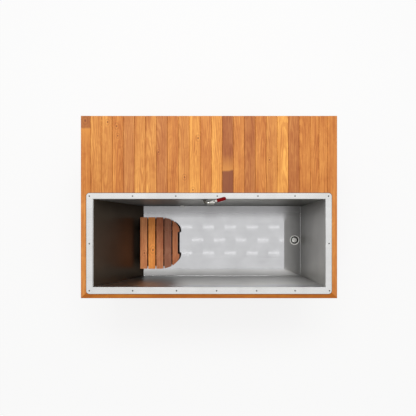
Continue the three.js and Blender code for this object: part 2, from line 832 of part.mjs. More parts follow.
/** Cranked lever with its stem and nut, and the dipped sleeve on its outer end, turned to the rest angle. */
function valveLever() {
  const group = new THREE.Group();
  const sleeveThickness = leverThickness + 2 * (gap + sleeveWall);
  const sleeveFoot = rimTop + leverClearance;
  const outer = sleeveFoot + gap + sleeveWall;
  const inner = outer - leverCrank;
  group.position.set(valvePlace, valveY, 0);
  group.rotation.z = THREE.MathUtils.degToRad(leverAngle);
  tubGroup.add(group);
  const side = outline([
    [-leverEye, inner],
    [crankStart, inner],
    [crankEnd, outer],
    [leverReach, outer],
    [leverReach, outer + leverThickness],
    [crankEnd, outer + leverThickness],
    [crankStart, inner + leverThickness],
    [-leverEye, inner + leverThickness],
  ]);
  const half = leverWidth / 2;
  const plan = rectangle([-leverEye, -half], [leverReach, half], half);
  const blank = prismZ(plan, inner - cutMargin, outer + cutMargin);
  const strip = common(prismY(side, -leverWidth, leverWidth), blank);
  const stemFoot = valveZ + bossHeight - stemDepth;
  const stem = rod([0, 0, stemFoot], [0, 0, inner + weldOverlap], stemRadius, smallSides);
  const nutFoot = inner + leverThickness - weldOverlap;
  const nut = rod([0, 0, nutFoot], [0, 0, nutFoot + weldOverlap + nutHeight], nutRadius, hexSides);
  piece("valve_lever", join(strip, stem, nut), "chrome", group);
  const tip = leverReach + gap + sleeveWall;
  const flat = sleeveWidth / 2 - sleeveRound;
  const sleevePlan = outline([
    [sleeveStart + sleeveRound, -flat], [tip - sleeveRound, -flat, flat], [tip - sleeveRound, flat, flat],
    [sleeveStart + sleeveRound, flat],
  ]);
  const rounded = {
    bevelEnabled: true, bevelSize: sleeveRound, bevelThickness: sleeveRound, bevelSegments: 2,
  };
  const sleeveTop = sleeveFoot + sleeveThickness;
  const grip = prismZ(sleevePlan, sleeveFoot + sleeveRound, sleeveTop - sleeveRound, rounded);
  const pocket = box(
    [sleeveStart - cutMargin, -half - gap, outer - gap],
    [leverReach + gap, half + gap, outer + leverThickness + gap]);
  piece("lever_sleeve", cut(grip, pocket), "vinyl", group);
}

/** Circulation pump: volute, ribbed motor and foot, with its discharge bent over to the filter. */
function pump() {
  const start = pumpY;
  const bore = pipeRadius - pipeWall;
  const volute = start + inletLength;
  const motor = volute + voluteLength;
  const profile = [
    [0, start + inletLength],
    [bore, start + inletLength],
    [bore, start],
    [inletRadius, start],
    [inletRadius, volute],
    [voluteRadius, volute],
    [voluteRadius, motor],
  ];
  const ribPitch = (motorLength - motorCap) / motorRibCount;
  for (let i = 0; i < motorRibCount; i += 1) {
    const y = motor + i * ribPitch;
    profile.push([motorRadius - motorRib, y], [motorRadius - motorRib, y + ribPitch / 2]);
    profile.push([motorRadius, y + ribPitch / 2], [motorRadius, y + ribPitch]);
  }
  profile.push([motorRadius, motor + motorLength], [0, motor + motorLength]);
  const body = turned(profile, axisY).translate(suctionPlace, 0, suctionZ);
  const side = pumpFootWidth / 2;
  const footBlock = box(
    [suctionPlace - side, volute, frameFoot],
    [suctionPlace + side, motor + motorLength - motorCap, suctionZ - motorRadius / 2]);
  const riser = suctionZ + voluteRadius / 2;
  const port = filterPlace - filterRadius - filterPort - gap;
  const bend = [suctionPlace, equipmentY, portZ];
  const route = [[suctionPlace, equipmentY, riser], bend, [port, equipmentY, portZ]];
  piece("pump", join(body, footBlock, pipe(route, pipeBend, pipeRadius, pipeWall)), "black");
}

/** Cartridge filter: a canister with a port on each side, and its screw lid. */
function filter() {
  const top = frameFoot + filterHeight;
  const canister = turned([
    [0, frameFoot],
    [filterRadius - filterRound, frameFoot],
    [filterRadius, frameFoot + filterRound],
    [filterRadius, top],
    [0, top],
  ]).translate(filterPlace, equipmentY, 0);
  const reach = filterRadius + filterPort;
  const portFrom = [filterPlace - reach, equipmentY, portZ];
  const port = rod(portFrom, [filterPlace + reach, equipmentY, portZ], pipeRadius, smallSides);
  piece("filter_housing", join(canister, port), "pipe");
  const lidFoot = top + gap;
  const cover = turned([
    [0, lidFoot],
    [lidRadius, lidFoot],
    [lidRadius, lidFoot + lidHeight / 2],
    [lidRadius / 2, lidFoot + lidHeight],
    [0, lidFoot + lidHeight],
  ]).translate(filterPlace, equipmentY, 0);
  const gripLow = [filterPlace - lidGrip, equipmentY - lidGripWidth / 2, lidFoot + lidHeight - weldOverlap];
  const gripTop = lidFoot + lidHeight + lidGripHeight;
  const gripHigh = [filterPlace + lidGrip, equipmentY + lidGripWidth / 2, gripTop];
  piece("filter_lid", join(cover, box(gripLow, gripHigh)), "black");
}

/** Chiller casing on runners, with the fan's well in its back and its water ports. */
function chillerCasing() {
  const low = [chillerX, chillerBack - chillerDepth];
  const high = [chillerX + chillerLength, chillerBack];
  const shell = prismZ(rectangle(low, high, chillerRound), chillerFoot, chillerTop);
  const underside = box(
    [low[0] + runnerWidth, low[1] - cutMargin, chillerFoot - cutMargin],
    [high[0] - runnerWidth, high[1] + cutMargin, chillerFoot + runnerHeight]);
  const wellFloor = chillerBack - fanWell;
  const well = rod([fanX, wellFloor, fanZ], [fanX, chillerBack + cutMargin, fanZ], wellRadius);
  const motorFace = wellFloor + fanMotorLength;
  const motor = rod([fanX, wellFloor - weldOverlap, fanZ], [fanX, motorFace, fanZ], fanMotor);
  const shaftTip = motorFace + fanSpace + fanHubLength / 2;
  const shaft = rod([fanX, motorFace - weldOverlap, fanZ], [fanX, shaftTip, fanZ], fanShaft, smallSides);
  const inletFrom = [filterPlace + filterRadius + filterPort + gap, equipmentY, portZ];
  const inlet = rod(inletFrom, [chillerX + chillerRound, equipmentY, portZ], pipeRadius, smallSides);
  const outletFrom = [outletX, equipmentY, chillerTop - weldOverlap];
  const outlet = rod(outletFrom, [outletX, equipmentY, chillerTop + outletHeight], pipeRadius, smallSides);
  piece("chiller_casing", join(cut(shell, underside, well), motor, shaft, inlet, outlet), "casing");
}

/** Axial fan on the motor's shaft: a hub with pitched blades. */
function fan() {
  const face = chillerBack - fanWell + fanMotorLength + fanSpace;
  const bore = fanShaft + fanShaftClearance;
  const hub = turned([
    [0, fanHubLength / 2 + gap + fanSpace],
    [bore, fanHubLength / 2 + gap + fanSpace],
    [bore, 0],
    [fanHub, 0],
    [fanHub, fanHubLength],
    [0, fanHubLength],
  ], axisY);
  const spread = THREE.MathUtils.degToRad(bladeSpread / 2);
  const blade = new THREE.Shape();
  blade.absarc(0, 0, fanHub - bladeRoot, -spread, spread, false);
  blade.absarc(0, 0, fanRadius, spread, -spread, true);
  const forms = [hub];
  for (let i = 0; i < fanBlades; i += 1) {
    const plate = prism(blade, fanBladeThickness, { curveSegments: bladeChords });
    plate.translate(0, 0, -fanBladeThickness / 2);
    plate.rotateX(THREE.MathUtils.degToRad(bladePitch)).rotateZ((2 * Math.PI * i) / fanBlades);
    forms.push(plate.rotateX(Math.PI / 2).translate(0, fanHubLength / 2, 0));
  }
  piece("fan", join(...forms).translate(fanX, face, fanZ), "black");
}

/** Wire guard over the fan's well: rings and spokes. */
function fanGuard() {
  const foot = chillerBack + gap;
  const outer = wellRadius + 2 * guardWire;
  const forms = [];
  for (let i = 0; i < guardRings; i += 1) {
    const radius = outer * (1 - i / guardRings);
    const inside = radius - (i === 0 ? guardBorder : guardWire);
    forms.push(turned([
      [inside, 0], [radius, 0], [radius, guardWire], [inside, guardWire], [inside, 0],
    ], axisY, guardSides));
  }
  const reach = outer - guardWire;
  for (let i = 0; i < guardSpokes; i += 1) {
    const spoke = box([-reach, guardWire / 4, -guardWire / 2], [reach, guardWire, guardWire / 2]);
    forms.push(spoke.rotateY((Math.PI * i) / guardSpokes));
  }
  piece("fan_guard", join(...forms).translate(fanX, foot, fanZ), "painted");
}

/** Pipes from the suction fitting to the pump and from the chiller back to the valve's elbow. */
function pipework() {
  const suction = [[suctionPlace, tailEnd + gap, suctionZ], [suctionPlace, pumpY - gap, suctionZ]];
  piece("suction_pipe", pipe(suction, pipeBend, pipeRadius, pipeWall), "pipe");
  const route = [
    [outletX, equipmentY, chillerTop + outletHeight + gap],
    [outletX, equipmentY, valveZ],
    [elbowX, equipmentY, valveZ],
    [elbowX, tailEnd + gap, valveZ],
  ];
  piece("return_pipe", pipe(route, pipeBend, pipeRadius, pipeWall), "pipe");
}

piece("tub_liner", tubLiner(), "steel");
piece("foam_jacket", foamJacket(), "foam");
piece("frame", frame(), "painted");
drain();
suctionFitting();
returnElbow();
valveBody();
valveLever();
seat();
caps();
deckBoards();
cladding();
base();
pump();
filter();
chillerCasing();
fan();
fanGuard();
pipework();

export default tubGroup;
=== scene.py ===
"""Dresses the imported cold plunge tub: a brushed stainless bath let into a cedar casing, seen from above."""

from __future__ import annotations

import logging
import math
from collections.abc import Callable
from dataclasses import dataclass, field
from enum import Enum
from functools import partial

import bmesh
import bpy
from mathutils import Matrix, Vector

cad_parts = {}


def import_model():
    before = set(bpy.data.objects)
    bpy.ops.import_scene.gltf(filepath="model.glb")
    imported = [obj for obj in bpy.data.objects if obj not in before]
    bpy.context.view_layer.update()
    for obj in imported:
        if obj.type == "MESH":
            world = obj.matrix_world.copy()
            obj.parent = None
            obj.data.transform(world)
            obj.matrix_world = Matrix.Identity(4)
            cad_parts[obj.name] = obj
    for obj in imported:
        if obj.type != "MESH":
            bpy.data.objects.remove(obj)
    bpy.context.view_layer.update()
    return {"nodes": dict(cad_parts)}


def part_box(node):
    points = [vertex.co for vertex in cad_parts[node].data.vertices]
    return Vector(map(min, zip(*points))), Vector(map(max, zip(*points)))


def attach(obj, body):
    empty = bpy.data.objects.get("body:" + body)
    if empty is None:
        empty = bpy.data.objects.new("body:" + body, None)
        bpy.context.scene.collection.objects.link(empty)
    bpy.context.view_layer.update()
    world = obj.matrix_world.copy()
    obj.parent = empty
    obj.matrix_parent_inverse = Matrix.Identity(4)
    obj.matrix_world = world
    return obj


LOG = logging.getLogger("plunge_tub")
MM = 0.001
# Range that nearly all values of a noise pattern lie in.
NOISE_SPREAD = (0.3, 0.7)
# Worn edges: gap in mm that is closed first, steps of the round, and least angle of an edge in degrees.
WELD_GAP = 0.02
EDGE_STEPS = 2
SHARP_EDGE = 35.0
# Largest angle in degrees that the scene's own pieces shade smooth.
SMOOTH_BELOW = 40.0
X_AXIS = (1.0, 0.0, 0.0)
Y_AXIS = (0.0, 1.0, 0.0)
Z_AXIS = (0.0, 0.0, 1.0)

Linear = tuple[float, float, float, float]
Point = tuple[float, float, float]
Pair = tuple[float, float]
Source = bpy.types.Node | bpy.types.NodeSocket
Adder = Callable[..., bpy.types.Node]


def linear(hex_colour: str) -> Linear:
    """Turns an sRGB hex colour to linear light.

    Args:
        hex_colour: Colour such as "#D78C4E".

    Returns:
        Red, green and blue in linear light, and full alpha.
    """
    channels = [int(hex_colour[i : i + 2], 16) / 255 for i in (1, 3, 5)]
    low = [c / 12.92 if c <= 0.04045 else ((c + 0.055) / 1.055) ** 2.4 for c in channels]
    return (low[0], low[1], low[2], 1.0)


def add_node(tree: bpy.types.NodeTree, kind: str, sockets: dict | tuple = (),
             **settings: object) -> bpy.types.Node:
    """Adds a node, sets its properties, and fills or links its inputs.

    Args:
        tree: Node tree that takes the node.
        kind: Blender's type name of the node, without its leading "ShaderNode".
        sockets: Values by input name or number, or in the order of the inputs. A value that is an output
            socket is linked, and so is the first output of one that is a node.
        **settings: Properties of the node.

    Returns:
        The new node.
    """
    node = tree.nodes.new(f"ShaderNode{kind}")
    for name, value in settings.items():
        setattr(node, name, value)
    for key, value in sockets.items() if isinstance(sockets, dict) else enumerate(sockets):
        source = value.outputs[0] if isinstance(value, bpy.types.Node) else value
        if isinstance(source, bpy.types.NodeSocket):
            tree.links.new(source, node.inputs[key])
        else:
            node.inputs[key].default_value = source
    return node


class Grain(Enum):
    """Axis that the fibres of a board run along."""

    ALONG_X = 0
    ALONG_Y = 1

    def scale(self, along: float, across: float) -> Point:
        """Returns pattern repeats per metre on X, Y and Z for a figure of that length and width in mm."""
        scales = [1 / (across * MM)] * 3
        scales[self.value] = 1 / (along * MM)
        return (scales[0], scales[1], scales[2])


class CedarTone(Enum):
    """Tones that red cedar boards are sorted into, from sapwood to old heartwood, dry and then damp."""

    PALE = "#E99E4E"
    HONEY = "#DC924B"
    AMBER = "#D48643"
    RUSSET = "#CA8046"
    BROWN = "#C0763F"
    UMBER = "#B0683A"
    GINGER = "#B6661C"
    WET_TAN = "#CE8354"
    WET_ORANGE = "#EC9449"
    WET_ROSE = "#B7704A"
    WET_RED = "#966048"


@dataclass(frozen=True)
class Finish:
    """A finish that makes one material, named for what the real surface is."""

    name: str

    def start(self) -> tuple[bpy.types.Material, Adder]:
        """Makes an empty material.

        Returns:
            The material, and the call that adds a node to it.
        """
        material = bpy.data.materials.new(self.name)
        material.use_nodes = True
        material.node_tree.nodes.clear()
        return material, partial(add_node, material.node_tree)

    def draw(self, add: Adder) -> dict[str, object]:
        """Draws the finish and returns its shader's inputs by name."""
        raise NotImplementedError

    def material(self) -> bpy.types.Material:
        """Makes the finish's material.

        Returns:
            The material.
        """
        material, add = self.start()
        shader = add("BsdfPrincipled", self.draw(add))
        add("OutputMaterial", {"Surface": shader})
        return material


@dataclass(frozen=True)
class Figure:
    """A pattern of the grain: length and width in mm, depth of shade, and how its noise is broken up."""

    length: float
    width: float
    depth: float
    detail: float
    distortion: float = 0.0


@dataclass(frozen=True)
class Cedar(Finish):
    """Planed and oiled cedar: soft satin, with straight streaks of early and late wood and a few pin knots.

    Real growth rings are 1 to 3 mm apart and the fibres finer still. Both are drawn coarser here, to show.
    """

    tone: CedarTone
    grain: Grain
    seed: int = 0
    seed_step: Point = (1.37, 2.11, 0.83)
    drift: Figure = Figure(300.0, 60.0, depth=0.1, detail=2.0)
    streak: Figure = Figure(420.0, 9.0, depth=0.09, detail=4.0, distortion=0.35)
    fibre: Figure = Figure(160.0, 3.2, depth=0.06, detail=3.0)
    curl: Figure = Figure(120.0, 46.0, depth=0.06, detail=3.0, distortion=2.4)
    contrast: float = 2.2
    shade_spread: Pair = (0.28, 0.72)
    tint: Point = (0.6, 1.0, 1.1)
    heart: Point | None = None
    arch: Pair = (520.0, 34.0)
    arch_bend: Point = (0.9, 0.9, 0.0)
    arch_repeat: float = 1.1
    arch_waver: Pair = (2.2, 2.0)
    arch_depth: Pair = (0.045, 0.07)
    knots: tuple[Point, ...] = ()
    knot_colour: str = "#7C4526"
    knot_squash: float = 0.7
    knot_bend: float = 0.8
    swirl_turns: float = 4.0
    swirl_reach: Pair = (0.6, 3.2)
    swirl_depth: float = 0.2
    eye_reach: Pair = (0.3, 0.9)
    eye_depth: float = 0.68
    pin_cell: Pair = (190.0, 110.0)
    pin_rarity: float = 0.86
    pin_reach: Pair = (0.03, 0.11)
    pin_depth: float = 0.45
    pin_colour: str = "#6E3D22"
    stain: Pair | None = None
    stain_colour: str = "#8E5238"
    stain_depth: float = 0.75
    stain_ragged: float = 25.0
    stain_edge: float = 12.0
    joint_glow: float = 120.0
    joint_depth: float = 0.75
    # Painted shade on faces that look sideways or down: factor underneath, and the facings it fades over.
    painted_underside_shade: float = 1.0
    painted_shade_facing: Pair = (-0.6, 0.5)
    course: float = 0.0
    course_foot: float = 0.0
    course_shade: Pair = (0.84, 1.14)
    course_jump: Point = (9.0, 9.0, 9.0)
    roughness: float = 0.5
    gloss_swing: Pair = (-0.1, 0.14)
    relief: float = 0.4
    relief_gain: float = 0.35
    ior: float = 1.48
    specular: float = 0.2

    def figure(self, add: Adder, place: Source, figure: Figure) -> bpy.types.Node:
        """Adds a noise pattern stretched along the fibres.

        Args:
            add: Adds a node to the material.
            place: Point of the board, shifted by its seed.
            figure: The pattern.

        Returns:
            The pattern's node.
        """
        scale = self.grain.scale(figure.length, figure.width)
        stretched = add("VectorMath", (place, scale), operation="MULTIPLY")
        return add("TexNoise", {"Vector": stretched, "Scale": 1.0, "Detail": figure.detail,
                                "Distortion": figure.distortion})

    def shade(self, add: Adder, colour: Source, amount: Source, low: float, high: float) -> Source:
        """Lightens and darkens a colour by a pattern.

        Args:
            add: Adds a node to the material.
            colour: Colour so far.
            amount: Pattern from 0 to 1.
            low: Factor at the low end of the pattern's spread.
            high: Factor at its high end.

        Returns:
            The shaded colour.
        """
        factor = add("MapRange", (amount, *self.shade_spread, low, high))
        tint = add("VectorMath", (factor, self.tint), operation="POWER")
        return add("VectorMath", (colour, tint), operation="MULTIPLY")

    def courses(self, add: Adder, point: Source, place: Source, colour: Source) -> tuple[Source, Source]:
        """Gives each course of boarding a shade and a stretch of grain of its own.

        Args:
            add: Adds a node to the material.
            point: Point of the panel.
            place: That point, shifted by the panel's seed.
            colour: Colour so far.

        Returns:
            The shifted point with the course's own jump, and the colour with the course's own shade.
        """
        height = add("SeparateXYZ", (point,)).outputs[2]
        raised = add("Math", (height, self.course_foot * MM), operation="SUBTRACT")
        count = add("Math", (raised, self.course * MM), operation="DIVIDE")
        board = add("Math", (count,), operation="FLOOR")
        own = add("TexWhiteNoise", {"W": board}, noise_dimensions="1D")
        moved = add("VectorMath", (own.outputs["Color"], self.course_jump, place), operation="MULTIPLY_ADD")
        return moved, self.shade(add, colour, own.outputs["Value"], *self.course_shade)

    def arches(self, add: Adder, place: Source, drift: Source, colour: Source) -> Source:
        """Draws the nested arches that flat sawing shows, as long rings about the board's heart.

        Args:
            add: Adds a node to the material.
            place: Point of the board.
            drift: Slow pattern that bends the rings.
            colour: Colour so far.

        Returns:
            The colour with its arches.
        """
        middle = tuple(c * MM for c in self.heart)
        away = add("VectorMath", (place, middle), operation="SUBTRACT")
        drawn = add("VectorMath", (away, self.grain.scale(*self.arch)), operation="MULTIPLY")
        bent = add("VectorMath", (drift, self.arch_bend, drawn), operation="MULTIPLY_ADD")
        distortion, detail = self.arch_waver
        rings = add("TexWave", {"Vector": bent, "Scale": self.arch_repeat, "Distortion": distortion,
                                "Detail": detail}, wave_type="RINGS", rings_direction="Z", wave_profile="SIN")
        early, late = (depth * self.contrast for depth in self.arch_depth)
        return self.shade(add, colour, rings.outputs["Fac"], 1 + early, 1 - late)

    def knot(self, add: Adder, place: Source, drift: Source, colour: Source, spot: Point) -> Source:
        """Draws one tight knot, with the fibres swirling round its dark eye.

        Args:
            add: Adds a node to the material.
            place: Point of the board.
            drift: Slow pattern that bends the swirl.
            colour: Colour so far.
            spot: Place of the knot on X and Y and its radius, in mm.

        Returns:
            The colour with its knot.
        """
        x, y, radius = (size * MM for size in spot)
        bend, half = self.knot_bend, self.knot_bend / 2
        away = add("VectorMath", (place, (x, y, 0.0)), operation="SUBTRACT")
        sized = add("VectorMath", (away, (1 / radius, self.knot_squash / radius, 0.0)), operation="MULTIPLY")
        bent = add("VectorMath", (drift, (bend, bend, 0.0), sized), operation="MULTIPLY_ADD")
        off = add("VectorMath", (bent, (half, half, 0.0)), operation="SUBTRACT")
        reach = add("VectorMath", (off,), operation="LENGTH").outputs["Value"]
        turn = add("Math", (reach, self.swirl_turns), operation="MULTIPLY")
        ring = add("Math", (turn,), operation="COSINE")
        fade = add("MapRange", (reach, *self.swirl_reach, self.swirl_depth, 0.0))
        swirl = add("Math", (ring, fade), operation="MULTIPLY")
        kept = add("Math", (1.0, swirl), operation="SUBTRACT")
        swirled = add("VectorMath", (colour, kept), operation="MULTIPLY")
        eye = add("MapRange", (reach, *self.eye_reach, self.eye_depth, 0.0))
        darkened = {"Factor": eye, 6: swirled, 7: linear(self.knot_colour)}
        return add("Mix", darkened, data_type="RGBA").outputs[2]

    def pin_knots(self, add: Adder, place: Source, colour: Source) -> Source:
        """Scatters a few small dark knots.

        Args:
            add: Adds a node to the material.
            place: Point of the board, shifted by its seed.
            colour: Colour so far.

        Returns:
            The colour with its pin knots.
        """
        cells = add("VectorMath", (place, self.grain.scale(*self.pin_cell)), operation="MULTIPLY")
        knot = add("TexVoronoi", {"Vector": cells, "Scale": 1.0, "Randomness": 1.0})
        rare = add("SeparateXYZ", (knot.outputs["Color"],))
        kept = add("Math", (rare, self.pin_rarity), operation="GREATER_THAN")
        eye = add("MapRange", (knot.outputs["Distance"], *self.pin_reach, self.pin_depth, 0.0))
        dark = add("Math", (eye, kept), operation="MULTIPLY")
        darkened = {"Factor": dark, 6: colour, 7: linear(self.pin_colour)}
        return add("Mix", darkened, data_type="RGBA").outputs[2]

    def heartwood(self, add: Adder, place: Source, drift: Source, colour: Source) -> Source:
        """Darkens a stretch of the board to ragged purple-brown heartwood, and pales the wood beside it.

        Args:
            add: Adds a node to the material.
            place: Point of the board.
            drift: Slow pattern that roughens the edge.
            colour: Colour so far.

        Returns:
            The colour with its dark stretch.
        """
        low, high = self.stain
        half = (high - low) / 2
        along = add("SeparateXYZ", (place,)).outputs[self.grain.value]
        ragged = add("Math", (drift, self.stain_ragged * MM, along), operation="MULTIPLY_ADD")
        off = add("Math", (ragged, (low + high) / 2 * MM), operation="SUBTRACT")
        reach = add("Math", (off,), operation="ABSOLUTE")
        fades = ((self.stain_edge, self.stain_depth), (self.joint_glow, self.joint_depth))
        inside, glow = (add("MapRange", (reach, half * MM, (half + edge) * MM, depth, 0.0))
                        for edge, depth in fades)
        outside = add("Math", (reach, half * MM), operation="GREATER_THAN")
        beside = add("Math", (glow, outside), operation="MULTIPLY")
        for amount, stain in ((beside, CedarTone.PALE.value), (inside, self.stain_colour)):
            colour = add("Mix", {"Factor": amount, 6: colour, 7: linear(stain)}, data_type="RGBA").outputs[2]
        return colour

    def draw(self, add: Adder) -> dict[str, object]:
        """Draws the cedar: tone, courses, grain, arches, knots, stain, painted shade underneath, and relief.

        Args:
            add: Adds a node to the material.

        Returns:
            Inputs of the shader, by name.
        """
        surface = add("TexCoord")
        point = surface.outputs["Object"]
        shift = tuple(step * self.seed for step in self.seed_step)
        place = add("VectorMath", (point, shift), operation="ADD")
        colour = add("CombineXYZ", linear(self.tone.value)[:3])
        if self.course:
            place, colour = self.courses(add, point, place, colour)
        figures = (self.drift, self.curl, self.streak, self.fibre)
        patterns = [self.figure(add, place, figure) for figure in figures]
        for figure, pattern in zip(figures, patterns):
            swing = figure.depth * self.contrast
            colour = self.shade(add, colour, pattern, 1 - swing, 1 + swing)
        drift, _, streak, fibre = patterns
        if self.heart:
            colour = self.arches(add, point, drift.outputs["Color"], colour)
        for spot in self.knots:
            colour = self.knot(add, point, drift.outputs["Color"], colour, spot)
        colour = self.pin_knots(add, place, colour)
        if self.stain:
            colour = self.heartwood(add, point, drift, colour)
        # Painted shade: sides darker, undersides near black where the factor is low.
        if self.painted_underside_shade < 1.0:
            facing = add("SeparateXYZ", (surface.outputs["Normal"],)).outputs[2]
            underside_darkening = add("MapRange", (facing, *self.painted_shade_facing, self.painted_underside_shade))
            colour = add("VectorMath", (colour, underside_darkening), operation="MULTIPLY")
        smooth, dull = (self.roughness + swing for swing in self.gloss_swing)
        gloss = add("MapRange", (streak, 0.0, 1.0, smooth, dull))
        relief = add("Bump", {"Height": fibre, "Strength": self.relief_gain, "Distance": self.relief * MM})
        return {"Base Color": colour, "Roughness": gloss, "Normal": relief, "IOR": self.ior,
                "Specular IOR Level": self.specular}


@dataclass(frozen=True)
class Sheet:
    """The bath's sheet while it is drawn: what adds its nodes, where its parts are, and its patterns."""

    add: Adder
    across_bath: Source
    height: Source
    endways: Source
    sideways: Source
    facing: Source
    on_flange: Source
    on_slope: Source
    on_floor: Source
    on_front: Source
    lines: Source
    clouds: Source


@dataclass(frozen=True)
class BrushedSteel(Finish):
    """Brushed stainless sheet: grey mirror blurred by fine grinding lines, with a whiter linished flange.

    Real grinding lines are about a tenth of a millimetre apart. They are drawn coarser here, to show.
    """

    floor_colour: str = "#DBDBDD"
    wall_colour: str = "#B8B7B4"
    # The sloped end's dark brownish grey is painted shade and a painted reflection of the cedar.
    slope_painted_shade_colour: str = "#685D52"
    flange_colour: str = "#F6F6F5"
    floor_level: float = 150.9
    flange_level: float = 780.0
    slope_facing: Pair = (0.12, 0.3)
    floor_facing: Pair = (0.6, 0.85)
    bend_facing: float = 0.9
    front_facing: float = 0.7
    # Painted shade and light on the walls: darker to the floor and on the back wall, lighter on front and
    # ends.
    painted_shade_by_depth: Pair = (0.55, 1.4)
    painted_end_wall_shade: float = 0.95
    painted_side_light_and_shade: Pair = (0.65, 1.7)
    grazing_tint: float = 0.4
    line: Pair = (320.0, 2.4)
    line_shade: Pair = (0.97, 1.03)
    cloud: float = 160.0
    cloud_shade: Pair = (0.94, 1.04)
    cloud_roughness: Pair = (-0.01, 0.02)
    detail: float = 3.0
    roughness: float = 0.05
    edge_roughness: float = 0.3
    edge_reach: Pair = (-90.0, 10.0)
    # Painted highlight along the folds between floor and walls: brightening, and its height above the floor
    # in mm.
    painted_fold_highlight: float = 6.0
    fold_height: float = 60.0
    wall_roughness: float = 0.38
    slope_roughness: float = 0.32
    flange_roughness: float = 0.24
    bend_roughness: float = 0.7
    across_lines: float = 0.75
    relief: float = 0.05
    relief_gain: float = 0.02

    def sheet(self, add: Adder) -> Sheet:
        """Tells the sheet's flange, slope, floor and front wall apart, and lays out its patterns.

        Args:
            add: Adds a node to the material.

        Returns:
            The sheet, ready to colour.
        """
        surface = add("TexCoord")
        place = surface.outputs["Object"]
        across_bath, height = add("SeparateXYZ", (place,)).outputs[1:]
        endways, sideways, facing = add("SeparateXYZ", (surface.outputs["Normal"],)).outputs
        drawn = add("VectorMath", (place, Grain.ALONG_X.scale(*self.line)), operation="MULTIPLY")
        return Sheet(
            add, across_bath, height, endways, sideways, facing,
            on_flange=add("Math", (height, self.flange_level * MM), operation="GREATER_THAN"),
            on_slope=add("MapRange", (facing, *self.slope_facing)),
            on_floor=add("MapRange", (facing, *self.floor_facing)),
            on_front=add("Math", (sideways, self.front_facing), operation="GREATER_THAN"),
            lines=add("TexNoise", {"Vector": drawn, "Scale": 1.0, "Detail": self.detail}),
            clouds=add("TexNoise", {"Vector": place, "Scale": 1 / (self.cloud * MM), "Detail": self.detail}))

    def shine(self, sheet: Sheet) -> Source:
        """Finds the painted highlight along the folds between floor and walls: how much brighter they are
        made.

        Args:
            sheet: The sheet so far.

        Returns:
            The factor, 1 away from the folds.
        """
        add = sheet.add
        off_floor = add("Math", (1.0, sheet.on_floor), operation="SUBTRACT")
        turning = add("Math", (sheet.on_floor, off_floor), operation="MULTIPLY")
        fold_top = (self.floor_level + self.fold_height) * MM
        low_down = add("Math", (sheet.height, fold_top), operation="LESS_THAN")
        on_fold = add("Math", (turning, low_down), operation="MULTIPLY")
        return add("Math", (on_fold, self.painted_fold_highlight, 1.0), operation="MULTIPLY_ADD")

    def tone(self, sheet: Sheet) -> Source:
        """Colours the sheet by part, painted shade and light on walls and folds, cloudy rolling marks,
        grinding lines.

        Args:
            sheet: The sheet so far.

        Returns:
            The colour.
        """
        add = sheet.add
        # The sloped end is painted dark brownish grey: painted shade and a painted reflection of the cedar.
        walls = {"Factor": sheet.on_slope, 6: linear(self.wall_colour), 7: linear(self.slope_painted_shade_colour)}
        tone = add("Mix", walls, data_type="RGBA").outputs[2]
        levels = (self.floor_level * MM, self.flange_level * MM)
        # Painted shade and light: darker to the floor and on the back wall, lighter on the front and end
        # walls.
        for shade in ((sheet.height, *levels, *self.painted_shade_by_depth), (sheet.endways, -1.0, 0.0, self.painted_end_wall_shade),
                      (sheet.sideways, -1.0, 1.0, *self.painted_side_light_and_shade)):
            factor = add("MapRange", shade)
            tone = add("VectorMath", (tone, factor), operation="MULTIPLY")
        for mask, part in ((sheet.on_floor, self.floor_colour), (sheet.on_flange, self.flange_colour)):
            tone = add("Mix", {"Factor": mask, 6: tone, 7: linear(part)}, data_type="RGBA").outputs[2]
        # Painted highlight along the folds between floor and walls.
        tone = add("VectorMath", (tone, self.shine(sheet)), operation="MULTIPLY")
        for pattern, shade in ((sheet.clouds, self.cloud_shade), (sheet.lines, self.line_shade)):
            factor = add("MapRange", (pattern, *NOISE_SPREAD, *shade))
            tone = add("VectorMath", (tone, factor), operation="MULTIPLY")
        return tone

    def blur(self, sheet: Sheet) -> Source:
        """Sets how rough each part of the sheet is: scuffed at the floor's back edge, linished on the flange.

        Args:
            sheet: The sheet so far.

        Returns:
            The roughness.
        """
        add = sheet.add
        reach = tuple(edge * MM for edge in self.edge_reach)
        scuffed = add("MapRange", (sheet.across_bath, *reach, self.roughness, self.edge_roughness))
        linished = add("MapRange", (sheet.facing, self.bend_facing, 1.0, self.bend_roughness,
                                    self.flange_roughness))
        level = self.wall_roughness
        for mask, part in ((sheet.on_slope, self.slope_roughness), (sheet.on_floor, scuffed),
                           (sheet.on_flange, linished)):
            level = add("Mix", {"Factor": mask, 2: level, 3: part})
        uneven = add("MapRange", (sheet.clouds, 0.0, 1.0, *self.cloud_roughness))
        return add("Math", (level, uneven), operation="ADD")

    def brushing(self, sheet: Sheet) -> Source:
        """Finds the direction that each part of the sheet was brushed across.

        Args:
            sheet: The sheet so far.

        Returns:
            The direction.
        """
        across = Z_AXIS
        for mask, way in ((sheet.on_front, X_AXIS), (sheet.on_floor, Y_AXIS), (sheet.on_flange, X_AXIS)):
            mixed = {"Factor": mask, 4: across, 5: way}
            across = sheet.add("Mix", mixed, data_type="VECTOR").outputs[1]
        return across

    def draw(self, add: Adder) -> dict[str, object]:
        """Draws the sheet: finishes by height and facing, rolling marks and grinding lines.

        Args:
            add: Adds a node to the material.

        Returns:
            Inputs of the shader, by name.
        """
        sheet = self.sheet(add)
        relief = add("Bump", {"Height": sheet.lines, "Strength": self.relief_gain,
                              "Distance": self.relief * MM})
        return {"Base Color": self.tone(sheet), "Roughness": self.blur(sheet), "Normal": relief,
                "Tangent": self.brushing(sheet), "Anisotropic": self.across_lines,
                "Specular Tint": (*(self.grazing_tint,) * 3, 1.0), "Metallic": 1.0}


